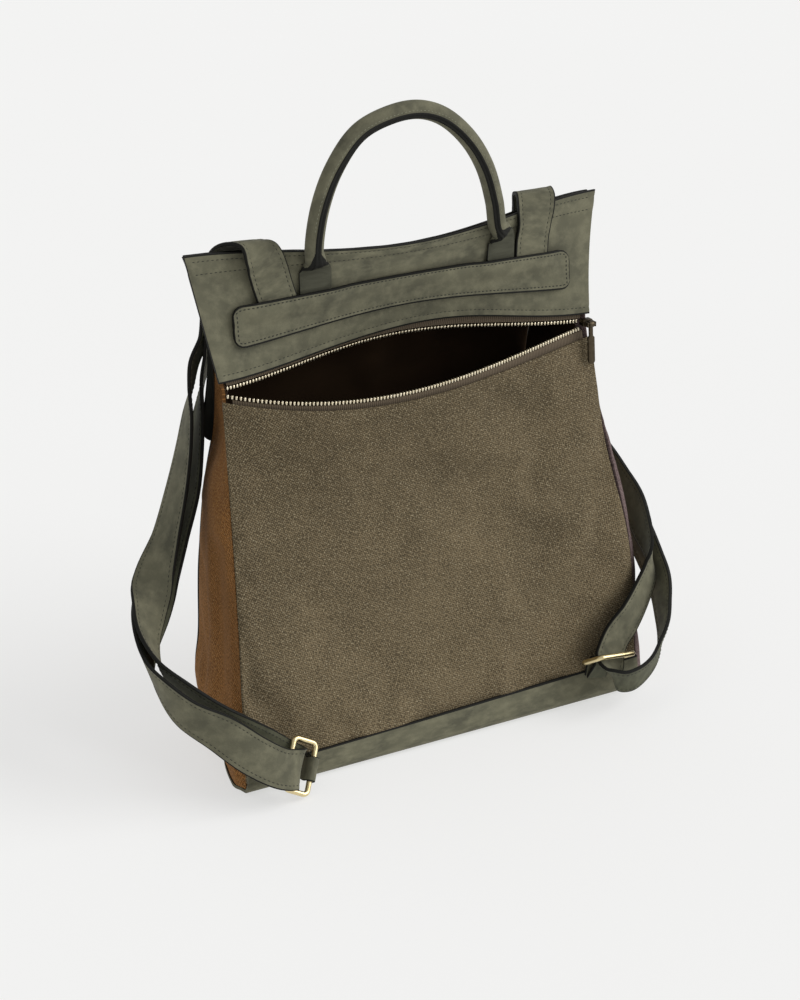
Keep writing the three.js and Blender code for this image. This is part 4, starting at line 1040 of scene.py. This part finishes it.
RIGHT_STRAP = [
    (93.3, -2.5, 318, 0.975, -0.12, -0.18), (97, 3.5, 325.5, 0.95, -0.27, -0.08),
    (101, 13, 325.5, 0.94, -0.31, 0.1), (106, 22.5, 317.5, 0.96, -0.12, 0.25),
    (112, 33, 299, 1, 0, 0.1), (116, 43, 275, 1, 0, 0.15),
    (120, 50, 245, 0.95, 0, 0.25), (127, 55, 211, 0.93, 0, 0.37),
    (137, 55, 182, 0.85, -0.1, 0.5), (149, 49, 159, 0.75, -0.3, 0.6),
    (161, 42, 143, 0.5, -0.42, 0.75), (170, 29, 130, 0.25, -0.5, 0.83),
    (173, 10.5, 117, 0.17, -0.5, 0.85), (171, -10, 107.7, 0.12, -0.56, 0.82),
    (167, -27, 96.7, -0.04, -0.63, 0.77), (165, -37, 87.5, -0.27, -0.6, 0.74),
    (161, -45, 77, -0.56, -0.35, 0.75), (149, -53, 66, -0.5, -0.2, 0.84),
    (133, -62, 55, -0.52, -0.13, 0.84), (119, -66.5, 45, -0.75, -0.1, 0.6),
    (111.4, -71.5, 35, -0.93, -0.16, 0.28), (107.5, -80, 27.5, -0.62, -0.3, 0.72),
    (110.5, -86, 25, -0.27, -0.54, 0.8), (119, -88, 25, -0.16, -0.49, 0.86),
    (131, -85, 27, -0.1, -0.45, 0.88), (145.5, -77, 33, -0.2, -0.43, 0.88),
    (157, -67, 42, -0.15, -0.57, 0.8), (164, -56, 53, -0.05, -0.67, 0.74),
    (169, -45, 65, 0.1, -0.64, 0.76), (172, -31, 75, 0.17, -0.55, 0.82),
    (175, -14, 86, 0.23, -0.53, 0.82), (178, 5, 96, 0.28, -0.53, 0.8),
    (179, 24, 108, 0.28, -0.53, 0.8), (176, 44, 121, 0.35, -0.5, 0.79),
    (163, 58, 140, 0.6, -0.4, 0.69), (145, 65, 163, 0.75, -0.25, 0.6),
    (132, 66, 190, 0.88, -0.05, 0.45),
]
STRAP_LIFT = LEATHER / 2 + 2 * GAP + STRAP["thick"] / 2
STRAP_FOOT = [(0.51, STRAP_LIFT), (0.62, STRAP_LIFT), (0.72, STRAP_LIFT + 0.2), (0.84, STRAP_LIFT + 1.6)]
STRAP_SEAM = 3.0


class Ribbon:
    """A strap's middle line and the way its marked edge lies."""

    def __init__(self, rows, foot):
        foot_x = foot["x"]
        start = STRAP_FOOT[0][0]
        feet = [off_yoke(foot_x + foot["lean"] * (t - start), t, lift)[0] for t, lift in STRAP_FOOT]
        t = STRAP_FOOT[1][0]
        foot_edge = (off_yoke(foot_x + 1, t, 0)[0] - off_yoke(foot_x, t, 0)[0]).normalized()
        self.line = feet + [Vector(row[:3]) for row in rows]
        self.edges = [foot_edge] * len(feet) + [Vector(row[3:]) for row in rows]
        steps = [through(self.line, k) for k in even(400)]
        self.length = sum((b - a).length for a, b in zip(steps, steps[1:]))

    def at(self, across, k, lift=0.0):
        """A point across millimetres from the middle line and lift millimetres out of the light side."""
        along = heading(self.line, k)
        side = through(self.edges, k)
        side = (side - along * side.dot(along)).normalized()
        return through(self.line, k) + side * across + side.cross(along) * lift


def strap_lift(across):
    """The strap's section: a little fuller in the middle, drawn in at its two seams."""
    from_edge = STRAP["wide"] / 2 - abs(across)
    fullness = STRAP["full"] * (1 - (2 * across / STRAP["wide"]) ** 2)
    return fullness + sewn_dip(from_edge - STRAP_SEAM, STRAP["dip"])


strap_columns = [0, 0.03, 0.07, 0.1, 0.12, 0.14, 0.18, 0.25, 0.37, 0.5]
strap_columns += [1 - c for c in reversed(strap_columns[:-1])]
ribbons = {}
for side_name, rows, shift in (("left", LEFT_STRAP, 0), ("right", RIGHT_STRAP, 60)):
    ribbon = Ribbon(rows, FOOT_AT[side_name])
    ribbons[side_name] = ribbon

    def strap_place(u, v):
        across = (u - 0.5) * STRAP["wide"]
        return ribbon.at(across, v, strap_lift(across))

    strap = make_piece(
        f"shoulder_strap_{side_name}_leather",
        laid_grid(strap_columns, even(300), strap_place, (STRAP["wide"], ribbon.length), (900 + shift, 0),
                  lambda u, v: 2 if min(u, 1 - u) < strap_columns[1] else 0),
        [NUBUCK, REVERSE, EDGE_PAINT], [f"shoulder_strap_{side_name}"])
    thicken(strap, STRAP["thick"], 0.5)
    print(side_name, "strap", round(ribbon.length), "mm long")

# %% [markdown]
# The rings are bent wire: a round section swept along a rectangle with round corners. The tabs are short
# leather straps folded round the ring's fixed bar, with both ends brought together at the base.

# %% Rings and ring tabs
RING = {"inside": 28.6, "deep": 13, "wire": 3.4, "corner": 3}
TAB = {"wide": 15, "thick": 1.5, "apart": 0.3, "straight": 2.6, "nose": 0.45, "level_from": 0.72,
       "rim": 0.035}
TAB_TURN = RING["wire"] / 2 + GAP + TAB["thick"] / 2
RING_PLACES = {
    "left": ((-115.9, -72.5, 18.8), (0.45, 0.42, 0.78), (-0.87, 0.05, 0.48), 14),
    "right": ((111, -71, 35), (0.96, 0.19, -0.2), (0.28, -0.83, 0.49), 18),
}
CORNER_STEPS = 8


def ring_spot(step):
    """Middle of the wire and its outward way, at a step round the rounded rectangle."""
    corner, i = divmod(step % (4 * CORNER_STEPS), CORNER_STEPS)
    a = (corner + i / (CORNER_STEPS - 1)) * math.pi / 2
    sign_x, sign_y = ((1, 1), (-1, 1), (-1, -1), (1, -1))[corner]
    x = sign_x * ((RING["inside"] + RING["wire"]) / 2 - RING["corner"])
    y = sign_y * ((RING["deep"] + RING["wire"]) / 2 - RING["corner"])
    out = Vector((math.cos(a), math.sin(a), 0))
    return Vector((x, y, 0)) + out * RING["corner"], out


for side_name, (at, bar, free, root_z) in RING_PLACES.items():
    bar = Vector(bar).normalized()
    free = Vector(free)
    free = (free - bar * free.dot(bar)).normalized()
    ring_frame = Matrix.Translation(Vector(at)) @ Matrix((bar, free, bar.cross(free))).transposed().to_4x4()

    def ring_place(u, v):
        spot, out = ring_spot(round(v * 4 * CORNER_STEPS))
        a = -2 * math.pi * u
        return ring_frame @ (spot + (out * math.cos(a) + Vector((0, 0, math.sin(a)))) * RING["wire"] / 2)

    bm = laid_grid(even(14), even(4 * CORNER_STEPS), ring_place, (10, 90))
    bmesh.ops.remove_doubles(bm, verts=bm.verts, dist=MERGE * MM)
    bmesh.ops.recalc_face_normals(bm, faces=bm.faces)
    make_piece(f"ring_{side_name}_brass", bm, [RING_BRASS], [f"ring_{side_name}"])

    fixed = ring_frame @ Vector((0, -(RING["deep"] + RING["wire"]) / 2, 0))
    lip_face = back_at(fixed.x / HALF_BASE, root_z / ZIP_Z).y - LIP_OUT - BASE["thick"] / 2
    root = Vector((fixed.x, lip_face - GAP - TAB["thick"] - TAB["apart"], root_z))
    away = root - fixed
    away = (away - bar * away.dot(bar)).normalized()
    side = bar.cross(away).normalized()
    half = TAB["thick"] / 2 + TAB["apart"]
    out = side * TAB_TURN
    straight = away * TAB["straight"]
    nose = fixed - away * TAB_TURN
    fold = [root + side * half, fixed + out + straight, fixed + out, nose + out * TAB["nose"],
            nose - out * TAB["nose"], fixed - out, fixed - out + straight, root - side * half]

    def tab_place(u, v):
        levelled = smooth(abs(2 * v - 1), TAB["level_from"], 1)
        across = bar.lerp(Vector((bar.x, 0, bar.z)), levelled).normalized()
        return through(fold, v) + across * (u - 0.5) * TAB["wide"]

    tab_columns = [0, TAB["rim"], *even(10)[1:-1], 1 - TAB["rim"], 1]
    bm = laid_grid(tab_columns, even(64), tab_place, (TAB["wide"], 50), (1100, 0),
                   lambda u, v: 2 if min(u, 1 - u) < TAB["rim"] else 0)
    middle = bm.faces[:][len(bm.faces) // 2]
    if middle.normal.dot(middle.calc_center_median() - fixed * MM) < 0:
        bmesh.ops.reverse_faces(bm, faces=bm.faces)
    tab = make_piece(f"ring_tab_{side_name}_leather", bm, [NUBUCK, REVERSE, EDGE_PAINT],
                     [f"ring_tab_{side_name}"])
    thicken(tab, TAB["thick"], 0.35)

# %% [markdown]
# The open zip has a ribbon tape behind each lip and a row of small metal teeth along each tape. One tooth
# is a small block with its edges bevelled, set across the tape; a loop places the row.

# %% Zip tapes and teeth
TAPE_BEHIND = {"upper": LEATHER / 2 + TAPE_SIZE["gap"] + TAPE_SIZE["thick"] / 2,
               "lower": CANVAS / 2 + TAPE_SIZE["gap"] + TAPE_SIZE["thick"] / 2}
TAPE_STARTS = 3.2
TOOTH_COUNT = 112
TOOTH_SIZE = {"along": 1.35, "long": 2.5, "thick": 2.0, "bevel": 0.35, "set_back": 0.5}


def lip_at(row, s, inward):
    """A point on a zip lip: inward is the distance from the teeth's tips, in mm."""
    if row == "upper":
        return yoke_at(s, inward / YOKE_TALL)
    return back_at(s, 1 - inward / ZIP_Z)


for row in ("upper", "lower"):
    def tape_place(u, v):
        from_tip = v if row == "upper" else 1 - v
        return lip_at(row, TAPE_SIZE["half"] * (2 * u - 1), TAPE_STARTS + from_tip * TAPE_SIZE["wide"])

    behind = TAPE_BEHIND[row]
    tape = make_piece(
        f"zip_tape_{row}_ribbon",
        laid_grid(even(120), even(6), lifted(tape_place, lambda u, v: -behind), (250, TAPE_SIZE["wide"])),
        [TAPE, TAPE, TAPE], [f"zip_tape_{row}"])
    thicken(tape, TAPE_SIZE["thick"], 0.2)

    bm = bmesh.new()
    for i in range(TOOTH_COUNT):
        s = lerp(TOOTH["from"], TOOTH["to"], (i + 0.5) / TOOTH_COUNT)
        tip = lip_at(row, s, TOOTH_SIZE["set_back"])
        heel = lip_at(row, s, TOOTH_SIZE["set_back"] + TOOTH_SIZE["long"])
        outward = (tip - heel).normalized()
        along = lip_at(row, s + 1e-3, TOOTH["long"]) - lip_at(row, s - 1e-3, TOOTH["long"])
        along = (along - outward * along.dot(outward)).normalized()
        up = along.cross(outward)
        up = up if up.y < 0 else -up
        centre = (tip + heel) / 2 - up * behind
        size = [TOOTH_SIZE[key] * MM for key in ("along", "long", "thick")]
        set_in = Matrix.Translation(centre * MM) @ Matrix((along, outward, up)).transposed().to_4x4()
        tooth = bmesh.ops.create_cube(bm, size=1, matrix=set_in @ Matrix.Diagonal(size + [1]))
        edges = {edge for vert in tooth["verts"] for edge in vert.link_edges}
        bmesh.ops.bevel(bm, geom=list(edges), offset=TOOTH_SIZE["bevel"] * MM, segments=1, profile=0.5,
                        affect="EDGES", material=-1)
    bmesh.ops.recalc_face_normals(bm, faces=bm.faces)
    make_piece(f"zip_teeth_{row}_brass", bm, [TOOTH_BRASS], [f"zip_teeth_{row}"])
print(2 * TOOTH_COUNT, "teeth")

# %% [markdown]
# The slider and its pull are small hard castings, and the CAD shapes are right. A copy of each node is
# merged, its flat faces joined, and its sharp edges bevelled, because a real casting has no knife edges.
# The pull is the one piece that moves, so it rides on a body of its own.

# %% Slider and pull
CASTING = {"merge": 0.002, "flat": math.radians(1), "sharp": math.radians(45), "bevel": 0.25}
for name, node_name, body in (("zip_slider_gunmetal", "zip_slider", "bag"),
                              ("zip_pull_gunmetal", "zip_pull", "zip_pull")):
    bm = bmesh.new()
    bm.from_mesh(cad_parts[node_name].data)
    bmesh.ops.remove_doubles(bm, verts=bm.verts, dist=CASTING["merge"] * MM)
    bmesh.ops.dissolve_limit(bm, angle_limit=CASTING["flat"], verts=bm.verts, edges=bm.edges)
    sharp = [edge for edge in bm.edges if edge.calc_face_angle(0) > CASTING["sharp"]]
    bmesh.ops.bevel(bm, geom=sharp, offset=CASTING["bevel"] * MM, segments=2, profile=0.5, affect="EDGES",
                    material=-1, clamp_overlap=True)
    make_piece(name, bm, [GUNMETAL], [node_name], body)

# %% [markdown]
# Stitches are real thread here. Each one is a small lozenge lying along its seam, and a row is a loop
# along a path of points with the way out of the leather at each.

# %% Stitches
STITCH = {"pitch": 3.0, "long": 2.0, "wide": 0.55, "deep": 0.5}
STRIP_STITCH = {"pitch": 2.7, "long": 1.9, "wide": 0.8, "deep": 0.6}
FINE_STITCH = {"pitch": 2.6, "long": 1.7, "wide": 0.5, "deep": 0.4}
SEAM_ENDS = 0.012
BESIDE_SEAM = 1.6
PAST_THROAT = 0.3


def sew(bm, path, stitch):
    """Sews one row along path, a list of points and outward normals in mm."""
    travelled = 0
    due = stitch["pitch"] / 2
    count = 0
    for (p, n), (p2, n2) in zip(path, path[1:]):
        step = (p2 - p).length
        while due <= travelled + step and step > 0:
            k = (due - travelled) / step
            along = (p2 - p).normalized()
            out = n.lerp(n2, k)
            out = (out - along * out.dot(along)).normalized()
            size = [stitch[key] / 2 * MM for key in ("long", "wide", "deep")]
            turned = Matrix((along, out.cross(along), out)).transposed().to_4x4()
            bmesh.ops.create_icosphere(
                bm, subdivisions=1, radius=1,
                matrix=Matrix.Translation(p.lerp(p2, k) * MM) @ turned @ Matrix.Diagonal(size + [1]))
            due += stitch["pitch"]
            count += 1
        travelled += step
    return count


def path_on(place, spots, out):
    """Points and normals on a surface at the spots, out millimetres above it."""
    path = []
    for u, v in spots:
        n = normal_of(place, u, v)
        path.append((place(u, v) + n * out, n))
    return path


bm = bmesh.new()
sewn = 0
along_yoke = [lerp(SEAM_ENDS, 1 - SEAM_ENDS, k) for k in even(160)]
for line in HEM_LINES:
    sewn += sew(bm, path_on(yoke_skin, [(u, line) for u in along_yoke], LEATHER / 2), STITCH)
foot_spots = [(u, yoke_foot(2 * u - 1) + FOOT_SEAM / YOKE_TALL) for u in along_yoke]
sewn += sew(bm, path_on(yoke_skin, foot_spots, LEATHER / 2), STITCH)
inset_u = STRIP_SEAM / (2 * STRIP["half"])
inset_v = STRIP_SEAM / STRIP_TALL
loop_spots = [(lerp(inset_u, 1 - inset_u, k), inset_v) for k in even(160)]
loop_spots += [(1 - inset_u, lerp(inset_v, 1 - inset_v, k)) for k in even(20)]
loop_spots += [(lerp(1 - inset_u, inset_u, k), 1 - inset_v) for k in even(160)]
loop_spots += [(inset_u, lerp(1 - inset_v, inset_v, k)) for k in even(20)]
strip_path = []
for u, v in loop_spots:
    n = normal_of(yoke_at, *strip_spot(u, v))
    strip_path.append((strip_skin(u, v) + n * LEATHER / 2, n))
sewn += sew(bm, strip_path, STRIP_STITCH)
make_piece("yoke_stitches_thread", bm, [THREAD])

for side_name, ribbon in ribbons.items():
    bm = bmesh.new()
    for edge_side in (-1, 1):
        across = edge_side * (STRAP["wide"] / 2 - STRAP_SEAM)
        for face_side in (-1, 1):
            lift = strap_lift(across) + face_side * STRAP["thick"] / 2
            path = []
            for k in even(300):
                p = ribbon.at(across, k, lift)
                path.append((p, (ribbon.at(across, k, lift + face_side) - p).normalized()))
            sewn += sew(bm, path, STITCH)
    make_piece(f"strap_{side_name}_stitches_thread", bm, [THREAD])

bm = bmesh.new()
seam_path = []
first_row = THROAT_SHADE["to"] + PAST_THROAT
for k in even(200):
    v = lerp(first_row, LAST_ROW - first_row, k) / LAST_ROW
    p = handle_at(0.5 + (SEAM_HALF + BESIDE_SEAM / HANDLE["radius"]) / (2 * math.pi), v)
    seam_path.append((p, (p - through(handle_line, v)).normalized()))
sewn += sew(bm, seam_path, FINE_STITCH)
make_piece("handle_stitches_thread", bm, [PALE_THREAD])
print(sewn, "stitches")

# %% [markdown]
# The last cell brings the scene's view layer up to date.

# %% Finish
bpy.context.view_layer.update()
